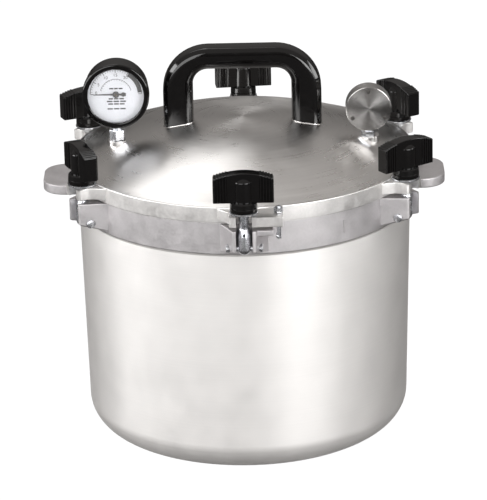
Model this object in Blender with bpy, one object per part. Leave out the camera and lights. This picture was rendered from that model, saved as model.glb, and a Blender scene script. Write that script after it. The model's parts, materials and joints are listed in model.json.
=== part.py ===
"""A pressure canner: a heavy cast pot, a domed cover, and six swing clamps that pull the cover
down metal to metal. The cover carries a top handle, a dial gauge, a vent pipe with its regulator
weight, an overpressure plug and a locating hook, and a rack for the jars stands inside the pot.

Run it with blender --background --python part.py, or from Blender's text editor.
Lengths are in metres, +Z is up, and the origin is the centre of the pot's flat base.
The front of the canner faces -Y. Azimuths are in degrees from +X, anticlockwise from above.
"""

import math

import bmesh
import bpy
from mathutils import Matrix, Vector

# ---- Clearances -------------------------------------------------------------------------------
GAP = 0.0003           # between faces that touch on the real canner
RUNNING_GAP = 0.00025  # between a shaft and the hole it turns in
WELD = 1e-6            # points closer than this are one point
OVERLAP = 0.004        # how far shapes that are one casting run into each other

# ---- Pot --------------------------------------------------------------------------------------
POT_HEIGHT = 0.2575        # base to rim
POT_OUTER_RADIUS = 0.1605  # just under the rim band
POT_DRAFT = 0.0042         # how much smaller the radius is at the base
POT_WALL = 0.005
POT_FLOOR = 0.006
POT_CORNER_RADIUS = 0.029  # outside, between base and side
POT_INNER_CORNER_RADIUS = 0.019
BAND_HEIGHT = 0.0311       # the thicker band under the rim
BAND_PROUD = 0.0023        # how far it stands out of the side
SEAT_DEPTH = 0.0065        # the bevelled metal seat in the mouth
SEAT_WIDTH = 0.0045

SIDE_HANDLE_REACH = 0.0310  # from the band outwards
SIDE_HANDLE_WIDTH = 0.067
SIDE_HANDLE_THICKNESS = 0.0096
SIDE_HANDLE_DROP = 0.0051   # from the rim down to its top face
SIDE_HANDLE_CORNER = 0.022
SIDE_HANDLE_DRAFT = 0.0020  # its edge leans in towards its underside

# ---- Clamps -----------------------------------------------------------------------------------
BOLT_STANDOFF = 0.0136     # from the band out to the bolts' axes
LUG_OUTREACH = 0.0100      # cover lug, from the bolt's axis to its tip
LUG_THICKNESS = 0.0112
LUG_TIP_HALF_WIDTH = 0.0136
LUG_ROOT_HALF_WIDTH = 0.0270
LUG_SLOT_HALF_WIDTH = 0.0074
LUG_DROP = 0.0012          # from the flange's top down to the seats of the washers
POT_LUG_OUTREACH = 0.0090
POT_LUG_DROP = 0.0006      # from the rim down to its top
POT_LUG_TIP_HALF_WIDTH = 0.0117
POT_LUG_ROOT_HALF_WIDTH = 0.0250
POT_LUG_SLOPE = 0.31       # its underside climbs outwards
POT_SLOT_HALF_WIDTH = 0.0077
PIN_DROP = 0.0202          # from the rim down to the hinge pin's axis
PIN_RADIUS = 0.003
PIN_SEAT = 0.0145          # from the bolt's axis sideways to the pocket of the pin's head
PIN_HEAD_RADIUS = 0.0040
PIN_HEAD_HEIGHT = 0.0026
EYE_RADIUS = 0.0063        # the bolt's plain lower end, around the hinge pin
THREAD_RADIUS = 0.00475
THREAD_LENGTH_BELOW_NUT = 0.0182
THREAD_RUNOUT = 0.0068     # the cone between thread and plain end
BOLT_IN_NUT = 0.022        # how far the bolt reaches into its nut
WASHER_RADIUS = 0.0134
WASHER_THICKNESS = 0.0017
SPOT_FACE_MARGIN = 0.0012  # around the washer
NUT_COLLAR_RADIUS = 0.0128
NUT_COLLAR_HEIGHT = 0.0095
NUT_HUB_RADIUS = 0.0100
NUT_HEIGHT = 0.0385
WING_HALF_SPAN = 0.0281
WING_HALF_THICKNESS = 0.0068
WING_END_DROP = 0.0055     # the wings' ends lie this much lower than the crown
INSERT_RADIUS = 0.0072
INSERT_LENGTH = 0.019
# name, azimuth of the clamp, and the direction in which its wing nut came to rest
CLAMPS = (
    ("front", -90.0, 0.0),
    ("front_right", -30.0, 36.0),
    ("rear_right", 30.0, -58.0),
    ("rear", 90.0, 6.0),
    ("rear_left", 150.0, 23.0),
    ("front_left", 210.0, -68.0),
)

# ---- Cover ------------------------------------------------------------------------------------
SEAT_GAP = 0.0005          # straight up, between the bevelled seats of pot and cover
FLANGE_HEIGHT = 0.0155
FLANGE_PROUD = 0.0032      # beyond the pot's band
DOME_LEDGE = 0.0030        # from the flange's edge in to the foot of the dome
DOME_RISE = 0.0355         # from the flange's top to the crown
DOME_WALL = 0.005
SPIGOT_DEPTH = 0.011       # how far the cover reaches into the pot
SPIGOT_WALL = 0.007
FITTING_INSET = 0.0455     # from the flange's edge in to the gauge and the vent
FITTING_FORWARD = 0.015    # both stand this far in front of the middle

# ---- Locating hook, on the long ear of the front lug ------------------------------------------
EAR_LENGTH = 0.0360        # from the bolt's axis, sideways
LEDGE_LENGTH = 0.0270      # the pot's ledge under that ear
LEDGE_THICKNESS = 0.0055
LEDGE_INSET = 0.0030       # its edge stands this far behind the pot lug's tip
HOOK_OFFSET = 0.0322       # sideways from the bolt's axis
HOOK_INSET = 0.001         # towards the pot from the bolt circle
HOOK_WIRE_RADIUS = 0.0020
HOOK_BEND_RADIUS = 0.0027
HOOK_DROP = 0.0172         # below the ear
HOOK_NUT_RADIUS = 0.0046
HOOK_NUT_HEIGHT = 0.0046

# ---- Top handle -------------------------------------------------------------------------------
HANDLE_SIDE_GAP = 0.0125   # between the handle and the gauge's bezel
HANDLE_HEIGHT = 0.0778     # over the outer edges of its legs
HANDLE_LEG_WIDTH = 0.0287
HANDLE_BAR_HEIGHT = 0.022
HANDLE_DEPTH = 0.027
HANDLE_INNER_CORNER_RADIUS = 0.015
HANDLE_EDGE_RADIUS = 0.0065
HANDLE_BOSS_RISE = 0.0006  # how far its pads stand above the dome at both sides of a leg
HANDLE_BOSS_FLARE = 1.30
HANDLE_SCREW_RADIUS = 0.003
HANDLE_SCREW_HEAD_RADIUS = 0.006
HANDLE_SCREW_HEAD_HEIGHT = 0.0035
HANDLE_SCREW_REACH = 0.022  # into the leg

# ---- Vent pipe and regulator weight -----------------------------------------------------------
VENT_BOSS_RADIUS = 0.0105
VENT_HEX_RADIUS = 0.0072
VENT_HEX_HEIGHT = 0.0040
VENT_PIPE_RADIUS = 0.0038
VENT_BORE_RADIUS = 0.0016
VENT_REACH = 0.012         # up into the weight
WEIGHT_RADIUS = 0.0218
WEIGHT_THICKNESS = 0.0170
WEIGHT_LIFT_GAP = 0.0016   # between the vent's hexagon and the weight's rim
WEIGHT_PORT_RADIUS = 0.0019
WEIGHT_PORT_INSET = 0.0043  # from its rim

# ---- Overpressure plug ------------------------------------------------------------------------
PLUG_AT = (-0.064, 0.060)
PLUG_BOSS_RADIUS = 0.0115
PLUG_HEAD_RADIUS = 0.0095
PLUG_HEAD_HEIGHT = 0.0055
PLUG_NECK_RADIUS = 0.0058
BOSS_RISE = 0.0028         # of the vent's and the plug's bosses above the dome under their middle

# ---- Dial gauge: its frame has the dial's centre as its origin and looks along +Y ---------------
GAUGE_STANDOFF = 0.0180      # from the dome under the stem up to the bezel
GAUGE_STEM_INSET = 0.0150    # from the bezel's front back to the stem's axis
GAUGE_DEPTH = 0.0300
BEZEL_RADIUS = 0.0320
BEZEL_WALL = 0.0013
BEZEL_LIP_WIDTH = 0.0052
BEZEL_DEPTH = 0.0105
BEZEL_LIP = 0.0020
CASE_WALL = 0.0015
LENS_THICKNESS = 0.0018
DIAL_THICKNESS = 0.0006
DIAL_DEPTH = 0.0085          # from the bezel's front to the dial's face
STEM_RADIUS = 0.0045
STEM_HEX_RADIUS = 0.0082
SOCKET_BLOCK = (0.012, 0.009, 0.009)
SOCKET_INSET = 0.0015        # from the inside of the case
TUBE_RADIUS = 0.0022
TUBE_INSET = 0.0085          # from the inside of the case to the tube's centre line
TUBE_SWEEP = 245.0           # degrees
MOVEMENT_MARGIN = 0.0048     # between the sector gear's pivot and the socket block
PINION_TEETH = 8
SECTOR_TEETH = 40            # of the full circle that the sector is cut from
SECTOR_KEPT_TEETH = 8
SECTOR_START_TEETH = 2       # how far round the sector stands when the needle is at zero
GEAR_FACE = 0.0014
SPINDLE_RADIUS = 0.0008
NEEDLE_LENGTH = 0.0215
NEEDLE_TAIL = 0.0095
NEEDLE_HUB_RADIUS = 0.0032

# ---- Jar rack ---------------------------------------------------------------------------------
RACK_CLEARANCE = 0.0050      # all round, to the inside of the pot
RACK_FOOT_CLEARANCE = 0.0020  # from its skirt to where the pot's floor curves up
RACK_THICKNESS = 0.002
RACK_SKIRT_HEIGHT = 0.0205
# radius of a ring of holes, how many, and the radius of each
RACK_HOLES = ((0.0, 1, 0.014), (0.055, 6, 0.013), (0.108, 12, 0.011))

# ---- Roundness --------------------------------------------------------------------------------
BIG_STEPS = 48    # pot, cover and rack: a multiple of six, so each lug meets the same facets
MID_STEPS = 28
SMALL_STEPS = 16
TINY_STEPS = 10
SMOOTH_ANGLE = math.radians(35)
OFF_SEAM = 7.0    # degrees that a hole is turned by, so that its corners miss the dome's seams

# ---- Levels and radii that follow ---------------------------------------------------------------
FLANGE_BOTTOM = POT_HEIGHT + SEAT_GAP
FLANGE_TOP = FLANGE_BOTTOM + FLANGE_HEIGHT
LUG_TOP = FLANGE_TOP - LUG_DROP
LUG_BOTTOM = LUG_TOP - LUG_THICKNESS
WASHER_BOTTOM = LUG_TOP + GAP
NUT_BOTTOM = WASHER_BOTTOM + WASHER_THICKNESS + GAP
POT_LUG_TOP = POT_HEIGHT - POT_LUG_DROP
PIN_LEVEL = POT_HEIGHT - PIN_DROP
BAND_BOTTOM = POT_HEIGHT - BAND_HEIGHT
BAND_RADIUS = POT_OUTER_RADIUS + BAND_PROUD
POT_INNER_RADIUS = POT_OUTER_RADIUS - POT_WALL
POT_LUG_ROOT_RADIUS = (POT_INNER_RADIUS + SEAT_WIDTH + BAND_RADIUS) / 2
POT_INNER_FOOT_RADIUS = POT_INNER_RADIUS - POT_DRAFT
BOLT_CIRCLE_RADIUS = BAND_RADIUS + BOLT_STANDOFF
FLANGE_RADIUS = BAND_RADIUS + FLANGE_PROUD
DOME_FOOT_RADIUS = FLANGE_RADIUS - DOME_LEDGE
DOME_SPHERE_RADIUS = (DOME_FOOT_RADIUS**2 + DOME_RISE**2) / (2 * DOME_RISE)
DOME_CENTRE = FLANGE_TOP + DOME_RISE - DOME_SPHERE_RADIUS
GAUGE_AT = (FITTING_INSET - FLANGE_RADIUS, -FITTING_FORWARD)
VENT_AT = (FLANGE_RADIUS - FITTING_INSET, -FITTING_FORWARD)
CASE_RADIUS = BEZEL_RADIUS - BEZEL_WALL - GAP
CASE_INNER_RADIUS = CASE_RADIUS - CASE_WALL
BEZEL_LIP_RADIUS = BEZEL_RADIUS - BEZEL_LIP_WIDTH
HANDLE_WIDTH = 2 * (FLANGE_RADIUS - FITTING_INSET - BEZEL_RADIUS - HANDLE_SIDE_GAP)
HANDLE_CORNER_RADIUS = HANDLE_INNER_CORNER_RADIUS + HANDLE_LEG_WIDTH

# Small sizes: edges, margins and steps
OFF_PLANE = 0.0001              # keeps two joined solids from sharing a plane
RIM_CHAMFER = 0.001             # pot rim and cover flange
LUG_CORNER = 0.0015             # lug tips, seen from above
LUG_SHOULDER_OUT = 0.003        # where a cover lug's side turns straight, beyond the bolt circle
BAND_MARGIN = 0.0005            # pot lugs start this far above the band's lower edge
SLOT_MARGIN = 0.001             # ear and ledge start this far beside their slot
LEDGE_DROP = 0.0002             # the ledge lies this far under the pot lugs' top
GAUGE_BOSS_MARGIN = 0.0015      # the gauge's boss beyond its hexagon
HANDLE_PAD_CORNER = 0.009
PIN_HEAD_EDGE = 0.0006
BOLT_CHAMFER = 0.001
BORE_BEYOND_BOLT = 0.002        # the nut's blind bore beyond the bolt's end
WING_EDGE = 0.001
WING_SINK = 0.0005              # the wings' underside, under the collar's top
WING_CROWN_DROP = 0.0008        # the wings' crown, under the nut's full height
COLLAR_EDGE = 0.0008
HUB_SHOULDER_DROP = 0.009       # the hub's shoulder, under the nut's full height
HUB_TOP_DROP = 0.0015
HOOK_TIP = 0.0012               # the hook's wire above its nut
VENT_TAIL = 0.006               # under the dome's inside
VENT_TIP = 0.002
WEIGHT_EDGE = 0.0008
SEAT_ROOM = 0.001               # above the vent pipe's tip, inside the weight
PLUG_TAIL = 0.004
PLUG_LEAD_IN = 0.002
CASE_EDGE = 0.002
BEZEL_EDGE = 0.0012
STEM_TAIL = 0.003
STEM_IN_BLOCK = 0.002
BLOCK_CORNER = 0.001
MOVEMENT_GAP = 0.001            # between the dial and the movement plate
MOVEMENT_PLATE_THICKNESS = 0.001
MOVEMENT_HALF_WIDTH = 0.008
MOVEMENT_ABOVE = 0.006          # over the needle's axis
MOVEMENT_BELOW = 0.003          # under the sector's pivot
MOVEMENT_CORNER = 0.002
GEAR_GAP = 0.0008               # between the movement plate and the gears
PIVOT_BEYOND_GEAR = 0.001
SPINDLE_AHEAD = 0.0030          # in front of the dial
NEEDLE_AHEAD = 0.0012
NEEDLE_THICKNESS = 0.0007
NEEDLE_TIP_HALF_WIDTH = 0.0003
NEEDLE_HALF_WIDTH = 0.0008
NEEDLE_FLARE_HALF_WIDTH = 0.0021
HUB_AHEAD = 0.0006
HUB_BEHIND = 0.0002


def dome_level(x, y, sphere_radius=DOME_SPHERE_RADIUS):
    """Height of the dome's outside, or of its inside with that sphere's radius, over (x, y)."""
    return DOME_CENTRE + math.sqrt(sphere_radius**2 - x * x - y * y)


# ---- Materials ----------------------------------------------------------------------------------
def material(name, colour, roughness, metallic):
    made = bpy.data.materials.new(name)
    made.use_nodes = True
    shader = made.node_tree.nodes["Principled BSDF"]
    shader.inputs["Base Color"].default_value = (*colour, 1.0)
    shader.inputs["Roughness"].default_value = roughness
    shader.inputs["Metallic"].default_value = metallic
    return made


def materials():
    return {
        "satin_aluminium": material("satin_aluminium", (0.80, 0.78, 0.76), 0.42, 1.0),
        "polished_aluminium": material("polished_aluminium", (0.72, 0.72, 0.72), 0.25, 1.0),
        "black_phenolic": material("black_phenolic", (0.012, 0.011, 0.011), 0.18, 0.0),
        "zinc_steel": material("zinc_steel", (0.70, 0.71, 0.72), 0.30, 1.0),
        "brass": material("brass", (0.72, 0.55, 0.25), 0.30, 1.0),
        "black_rubber": material("black_rubber", (0.02, 0.02, 0.02), 0.70, 0.0),
        "dial_white": material("dial_white", (0.88, 0.88, 0.90), 0.50, 0.0),
        "needle_black": material("needle_black", (0.01, 0.01, 0.01), 0.40, 0.0),
        "clear_glass": material("clear_glass", (0.95, 0.97, 0.98), 0.05, 0.0),
    }


# ---- Shapes -------------------------------------------------------------------------------------
def placed(bm, name, finish, location=(0, 0, 0), turn=0.0, tilt=None):
    """Makes the shape an object. turn is about Z in degrees, after tilt, a rotation matrix."""
    bmesh.ops.remove_doubles(bm, verts=bm.verts, dist=WELD)
    bmesh.ops.recalc_face_normals(bm, faces=bm.faces)
    mesh = bpy.data.meshes.new(name)
    bm.to_mesh(mesh)
    bm.free()
    if tilt is not None:
        mesh.transform(tilt.to_4x4())
    mesh.shade_smooth()
    mesh.set_sharp_from_angle(angle=SMOOTH_ANGLE)
    made = bpy.data.objects.new(name, mesh)
    bpy.context.scene.collection.objects.link(made)
    made.location = location
    made.rotation_euler = (0, 0, math.radians(turn))
    if finish is not None:
        mesh.materials.append(finish)
    return made


def turned(profile, steps):
    """A lathe shape about Z from (radius, height) points. An open profile starts and ends on the axis,
    and a closed one repeats its first point."""
    bm = bmesh.new()
    ends_meet = profile[0] == profile[-1]
    corners = [bm.verts.new((r, 0, z)) for r, z in (profile[:-1] if ends_meet else profile)]
    edges = [bm.edges.new(pair) for pair in zip(corners, corners[1:])]
    if ends_meet:
        edges.append(bm.edges.new((corners[-1], corners[0])))
    bmesh.ops.spin(bm, geom=corners + edges, cent=(0, 0, 0), axis=(0, 0, 1),
                   angle=2 * math.pi, steps=steps, use_merge=True, use_duplicate=False)
    return bm


def disc(radius, low, high, steps):
    return turned([(0, low), (radius, low), (radius, high), (0, high)], steps)


def ring(inner, outer, low, high, steps):
    return turned([(inner, low), (outer, low), (outer, high), (inner, high), (inner, low)], steps)


def extruded(outline, low, high, top_scale=1.0, about=(0.0, 0.0)):
    """A prism over an outline in XY. top_scale grows its upper face about a point."""
    bm = bmesh.new()
    face = bm.faces.new([bm.verts.new((x, y, low)) for x, y in outline])
    up = bmesh.ops.extrude_face_region(bm, geom=[face])["geom"]
    top = [v for v in up if isinstance(v, bmesh.types.BMVert)]
    for v in top:
        v.co.z = high
        v.co.x = about[0] + (v.co.x - about[0]) * top_scale
        v.co.y = about[1] + (v.co.y - about[1]) * top_scale
    return bm


def sloped(bm, slope):
    """Lifts a prism's lower face, the more the further out it reaches."""
    low = min(v.co.z for v in bm.verts)
    start = min(v.co.x for v in bm.verts)
    for v in bm.verts:
        if v.co.z < low + 1e-6:
            v.co.z += slope * (v.co.x - start)
    return bm


def tilted_top(bm, slope):
    """Tilts a prism's upper face along X."""
    high = max(v.co.z for v in bm.verts)
    for v in bm.verts:
        if v.co.z > high - 1e-6:
            v.co.z += slope * v.co.x
    return bm


def arc(centre, radius, start, end, steps):
    """Points along an arc, both ends included. Angles are in degrees."""
    angles = (math.radians(start + (end - start) * i / steps) for i in range(steps + 1))
    return [(centre[0] + radius * math.cos(a), centre[1] + radius * math.sin(a)) for a in angles]


def rounded_rectangle(x0, x1, y0, y1, radius, steps=4):
    points = arc((x1 - radius, y0 + radius), radius, -90, 0, steps)
    points += arc((x1 - radius, y1 - radius), radius, 0, 90, steps)
    points += arc((x0 + radius, y1 - radius), radius, 90, 180, steps)
    points += arc((x0 + radius, y0 + radius), radius, 180, 270, steps)
    return points


def keep_evaluated(target):
    """Makes the evaluated shape the object's own mesh."""
    bpy.context.view_layer.update()
    graph = bpy.context.evaluated_depsgraph_get()
    mesh = bpy.data.meshes.new_from_object(target.evaluated_get(graph))
    bm = bmesh.new()
    bm.from_mesh(mesh)
    bmesh.ops.remove_doubles(bm, verts=bm.verts, dist=WELD)
    bmesh.ops.dissolve_degenerate(bm, edges=bm.edges, dist=WELD)
    bm.to_mesh(mesh)
    bm.free()
    target.modifiers.clear()
    old = target.data
    target.data = mesh
    mesh.name = target.name
    bpy.data.meshes.remove(old)


def boolean(target, shape, operation):
    """Joins the shape to the target, or cuts it away, and removes it."""
    modifier = target.modifiers.new(operation, "BOOLEAN")
    modifier.object = shape
    modifier.operation = operation
    keep_evaluated(target)
    bpy.data.objects.remove(shape)


def join(target, shape):
    boolean(target, shape, "UNION")


def cut(target, shape):
    boolean(target, shape, "DIFFERENCE")


def tool(bm, location=(0, 0, 0), turn=0.0, tilt=None):
    """A shape that a Boolean uses up."""
    return placed(bm, "tool", None, location, turn, tilt)


def outward(azimuth, radius):
    a = math.radians(azimuth)
    return radius * math.cos(a), radius * math.sin(a)


ALONG_Y = Matrix.Rotation(math.radians(-90), 3, "X")   # turns a shape's +Z to +Y
UPRIGHT = Matrix.Rotation(math.radians(90), 3, "X")    # turns an outline's +Y to +Z, its +Z to -Y


# ---- Lugs: outlines in a frame whose +X points outwards, away from the pot's axis -----------------
def flared_lug(root, shoulder, tip, tip_half_width, root_half_width, steps=6):
    """Sides that sweep in from the root to the shoulder in an S curve, and run straight to the tip."""
    side = []
    for i in range(steps + 1):
        share = i / steps
        ease = 0.5 + 0.5 * math.cos(math.pi * share)
        half = tip_half_width + (root_half_width - tip_half_width) * ease
        side.append((root + (shoulder - root) * share, half))
    corner = min(LUG_CORNER, 0.5 * (tip - shoulder))
    side += [(tip - corner, tip_half_width), (tip, tip_half_width - corner)]
    return [(x, -y) for x, y in side] + side[::-1]


def tapered_lug(root_radius, tip, tip_half_width, root_half_width):
    """Straight sides that run together from the root, a circle around the pot's axis, to the tip."""
    corner = LUG_CORNER
    root = arc_across(root_radius, root_half_width, -root_half_width)
    side = [(tip - corner, -tip_half_width), (tip, corner - tip_half_width)]
    return root + side + [(x, -y) for x, y in reversed(side)]


def arc_across(radius, start, end, steps=4):
    """Points on a circle around the pot's axis, from one sideways distance to the other."""
    sideways = (start + (end - start) * i / steps for i in range(steps + 1))
    return [(math.sqrt(radius**2 - y * y), y) for y in sideways]


def slot_outline(axis_at, half_width, tip):
    """A slot with a round bottom around the bolt's axis, open at the tip."""
    round_end = arc((axis_at, 0.0), half_width, 90, 270, 8)
    return [(tip, half_width)] + round_end + [(tip, -half_width)]


def crown_cutter():
    """Takes the lug's top down, outwards of the bolt's axis, to the arc that the washer swings on."""
    reach = LUG_TOP - PIN_LEVEL
    length = LUG_OUTREACH + OVERLAP
    clear = FLANGE_TOP + OVERLAP
    # the first point lies above the lug's top, so that the cut starts at an angle to it
    points = [(BOLT_CIRCLE_RADIUS, LUG_TOP + GAP)]
    steps = 5
    for i in range(1, steps + 1):
        x = length * i / steps
        points.append((BOLT_CIRCLE_RADIUS + x, PIN_LEVEL + math.sqrt(reach**2 - x * x)))
    points += [(BOLT_CIRCLE_RADIUS + length, clear), (BOLT_CIRCLE_RADIUS, clear)]
    return extruded(points, -LUG_ROOT_HALF_WIDTH, EAR_LENGTH + OVERLAP)


# ---- Pot ------------------------------------------------------------------------------------------
def pot_profile():
    foot = POT_OUTER_RADIUS - POT_DRAFT
    corner = POT_CORNER_RADIUS
    profile = [(0, 0)]
    profile += arc((foot - corner, corner), corner, -90, 0, 6)
    profile += [
        (POT_OUTER_RADIUS, BAND_BOTTOM - BAND_PROUD),
        (BAND_RADIUS, BAND_BOTTOM),
        (BAND_RADIUS, POT_HEIGHT - RIM_CHAMFER),
        (BAND_RADIUS - RIM_CHAMFER, POT_HEIGHT),
        (POT_INNER_RADIUS + SEAT_WIDTH, POT_HEIGHT),
        (POT_INNER_RADIUS, POT_HEIGHT - SEAT_DEPTH),
    ]
    inner = POT_INNER_CORNER_RADIUS
    profile += arc((POT_INNER_FOOT_RADIUS - inner, POT_FLOOR + inner), inner, 0, -90, 4)
    profile += [(0, POT_FLOOR)]
    return profile


def build_pot(finish):
    pot = placed(turned(pot_profile(), BIG_STEPS), "pot", finish)
    tip = BOLT_CIRCLE_RADIUS + POT_LUG_OUTREACH
    lug = tapered_lug(POT_LUG_ROOT_RADIUS, tip, POT_LUG_TIP_HALF_WIDTH, POT_LUG_ROOT_HALF_WIDTH)
    slot = slot_outline(BOLT_CIRCLE_RADIUS, POT_SLOT_HALF_WIDTH, tip + OVERLAP)
    for _, azimuth, _ in CLAMPS:
        body = sloped(extruded(lug, BAND_BOTTOM + BAND_MARGIN, POT_LUG_TOP), POT_LUG_SLOPE)
        join(pot, tool(body, turn=azimuth))
    for side in (0.0, 180.0):
        join(pot, side_handle(side))
    join(pot, locating_ledge())
    for _, azimuth, _ in CLAMPS:
        at = (*outward(azimuth, BOLT_CIRCLE_RADIUS), PIN_LEVEL)
        cut(pot, tool(extruded(slot, BAND_BOTTOM - OVERLAP, POT_HEIGHT + OVERLAP), turn=azimuth))
        hole = disc(PIN_RADIUS + GAP, -PIN_SEAT - OVERLAP, PIN_SEAT + OVERLAP, TINY_STEPS)
        cut(pot, tool(hole, at, azimuth, ALONG_Y))
        for low, high in ((-POT_LUG_ROOT_HALF_WIDTH, -PIN_SEAT), (PIN_SEAT, POT_LUG_ROOT_HALF_WIDTH)):
            pocket = disc(PIN_HEAD_RADIUS + GAP, low, high, TINY_STEPS)
            cut(pot, tool(pocket, at, azimuth, ALONG_Y))
    return pot


def side_handle(azimuth):
    """A flat wing with round corners, whose edge leans in towards its underside."""
    inner = BAND_RADIUS - OVERLAP
    half = SIDE_HANDLE_WIDTH / 2
    reach = BAND_RADIUS + SIDE_HANDLE_REACH
    corner = min(SIDE_HANDLE_CORNER, half)
    outline = [(inner, -half)]
    outline += arc((reach - corner, -half + corner), corner, -90, 0, 6)
    outline += arc((reach - corner, half - corner), corner, 0, 90, 6)
    outline += [(inner, half)]
    top = POT_HEIGHT - SIDE_HANDLE_DROP
    lean = (reach - SIDE_HANDLE_DRAFT - inner) / (reach - inner)
    outline = [(inner + (x - inner) * lean, y * lean) for x, y in outline]
    shape = extruded(outline, top - SIDE_HANDLE_THICKNESS, top, 1 / lean, (inner, 0.0))
    return tool(shape, turn=azimuth)


def locating_ledge():
    """The pot's half of the locating stop, beside the front clamp's slot."""
    outer = BOLT_CIRCLE_RADIUS + POT_LUG_OUTREACH - LEDGE_INSET
    near = POT_SLOT_HALF_WIDTH + SLOT_MARGIN
    outline = arc_across(POT_LUG_ROOT_RADIUS, LEDGE_LENGTH, near) + [(outer, near), (outer, LEDGE_LENGTH)]
    shape = extruded(outline, POT_LUG_TOP - LEDGE_THICKNESS, POT_LUG_TOP - LEDGE_DROP)
    return tool(shape, turn=CLAMPS[0][1])


# ---- Cover ----------------------------------------------------------------------------------------
def cover_profile():
    inner_sphere = DOME_SPHERE_RADIUS - DOME_WALL
    spigot_radius = POT_INNER_RADIUS - GAP
    spigot_inner = spigot_radius - SPIGOT_WALL
    seat_end = POT_HEIGHT - SEAT_DEPTH + SEAT_GAP - GAP * SEAT_DEPTH / SEAT_WIDTH
    steps = 7
    profile = []
    for i in range(steps + 1):
        r = DOME_FOOT_RADIUS * i / steps
        profile.append((r, dome_level(r, 0)))
    profile += [
        (FLANGE_RADIUS - RIM_CHAMFER, FLANGE_TOP),
        (FLANGE_RADIUS, FLANGE_TOP - RIM_CHAMFER),
        (FLANGE_RADIUS, FLANGE_BOTTOM),
        (POT_INNER_RADIUS + SEAT_WIDTH, FLANGE_BOTTOM),
        (spigot_radius, seat_end),
        (spigot_radius, POT_HEIGHT - SPIGOT_DEPTH),
        (spigot_inner, POT_HEIGHT - SPIGOT_DEPTH),
    ]
    steps = 5
    for i in range(steps, -1, -1):
        r = spigot_inner * i / steps
        profile.append((r, dome_level(r, 0, inner_sphere)))
    return profile


def build_cover(finish):
    cover = placed(turned(cover_profile(), BIG_STEPS), "cover", finish)
    root = FLANGE_RADIUS - 2 * OVERLAP
    shoulder = BOLT_CIRCLE_RADIUS + LUG_SHOULDER_OUT
    tip = BOLT_CIRCLE_RADIUS + LUG_OUTREACH
    lug = flared_lug(root, shoulder, tip, LUG_TIP_HALF_WIDTH, LUG_ROOT_HALF_WIDTH)
    slot = slot_outline(BOLT_CIRCLE_RADIUS, LUG_SLOT_HALF_WIDTH, tip + OVERLAP)
    for _, azimuth, _ in CLAMPS:
        join(cover, tool(extruded(lug, LUG_BOTTOM, LUG_TOP), turn=azimuth))
    near = LUG_SLOT_HALF_WIDTH + SLOT_MARGIN
    end = tip - OFF_PLANE
    ear = [(root, near), (end, near), (end, EAR_LENGTH), (root, EAR_LENGTH)]
    join(cover, tool(extruded(ear, LUG_BOTTOM + OFF_PLANE, LUG_TOP - OFF_PLANE), turn=CLAMPS[0][1]))
    for (x, y), boss_radius in (
        (VENT_AT, VENT_BOSS_RADIUS),
        (PLUG_AT, PLUG_BOSS_RADIUS),
        (GAUGE_AT, STEM_HEX_RADIUS + GAUGE_BOSS_MARGIN),
    ):
        level = dome_level(x, y)
        boss = disc(boss_radius, level - DOME_WALL * 0.8, level + BOSS_RISE, SMALL_STEPS)
        join(cover, tool(boss, (x, y, 0)))
    for side in (-1, 1):
        join(cover, handle_pad(side))
    for _, azimuth, _ in CLAMPS:
        cut(cover, tool(extruded(slot, LUG_BOTTOM - OVERLAP, FLANGE_TOP + OVERLAP), turn=azimuth))
        spot_radius = WASHER_RADIUS + SPOT_FACE_MARGIN
        spot_face = disc(spot_radius, LUG_TOP + GAP / 2, FLANGE_TOP + DOME_RISE, SMALL_STEPS)
        cut(cover, tool(spot_face, (*outward(azimuth, BOLT_CIRCLE_RADIUS), 0)))
        cut(cover, tool(crown_cutter(), (0, 0, 0), azimuth, UPRIGHT))
    for (x, y), hole_radius in (
        (VENT_AT, VENT_PIPE_RADIUS),
        (PLUG_AT, PLUG_NECK_RADIUS),
        (GAUGE_AT, STEM_RADIUS),
        ((handle_leg_x(), 0.0), HANDLE_SCREW_RADIUS),
        ((-handle_leg_x(), 0.0), HANDLE_SCREW_RADIUS),
    ):
        hole = disc(hole_radius + GAP, FLANGE_BOTTOM, FLANGE_TOP + 2 * DOME_RISE, TINY_STEPS)
        cut(cover, tool(hole, (x, y, 0), OFF_SEAM))
    hole = disc(HOOK_WIRE_RADIUS + GAP, LUG_BOTTOM - OVERLAP, LUG_TOP + OVERLAP, TINY_STEPS)
    cut(cover, tool(hole, (*hook_at(), 0)))
    return cover


def handle_leg_x():
    return (HANDLE_WIDTH - HANDLE_LEG_WIDTH) / 2


def handle_foot():
    """Level of the pads that the top handle stands on, at the outer edges of its legs."""
    return dome_level(HANDLE_WIDTH / 2, 0) + HANDLE_BOSS_RISE


def handle_climb():
    """The pads and the legs' ends slope with the dome: how much higher they are at the inner edges."""
    return dome_level(HANDLE_WIDTH / 2 - HANDLE_LEG_WIDTH, 0) - dome_level(HANDLE_WIDTH / 2, 0)


def handle_pad(side):
    """Spreads out downwards, and ends inside the dome's wall."""
    flare = HANDLE_BOSS_FLARE
    half_x, half_y = flare * HANDLE_LEG_WIDTH / 2, flare * HANDLE_DEPTH / 2
    wide = rounded_rectangle(-half_x, half_x, -half_y, half_y, HANDLE_PAD_CORNER)
    low = dome_level(handle_leg_x() + half_x, half_y) - 2 * OVERLAP
    shape = extruded(wide, low, handle_foot() + handle_climb() / 2, 1 / flare)
    shape = tilted_top(shape, -side * handle_climb() / HANDLE_LEG_WIDTH)
    pad = tool(shape, (side * handle_leg_x(), 0, 0))
    inside = turned([(0, 0)] + arc((0, DOME_CENTRE), DOME_SPHERE_RADIUS - DOME_WALL / 2, 60, 90, 8),
                    BIG_STEPS)
    cut(pad, tool(inside))
    return pad


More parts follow.
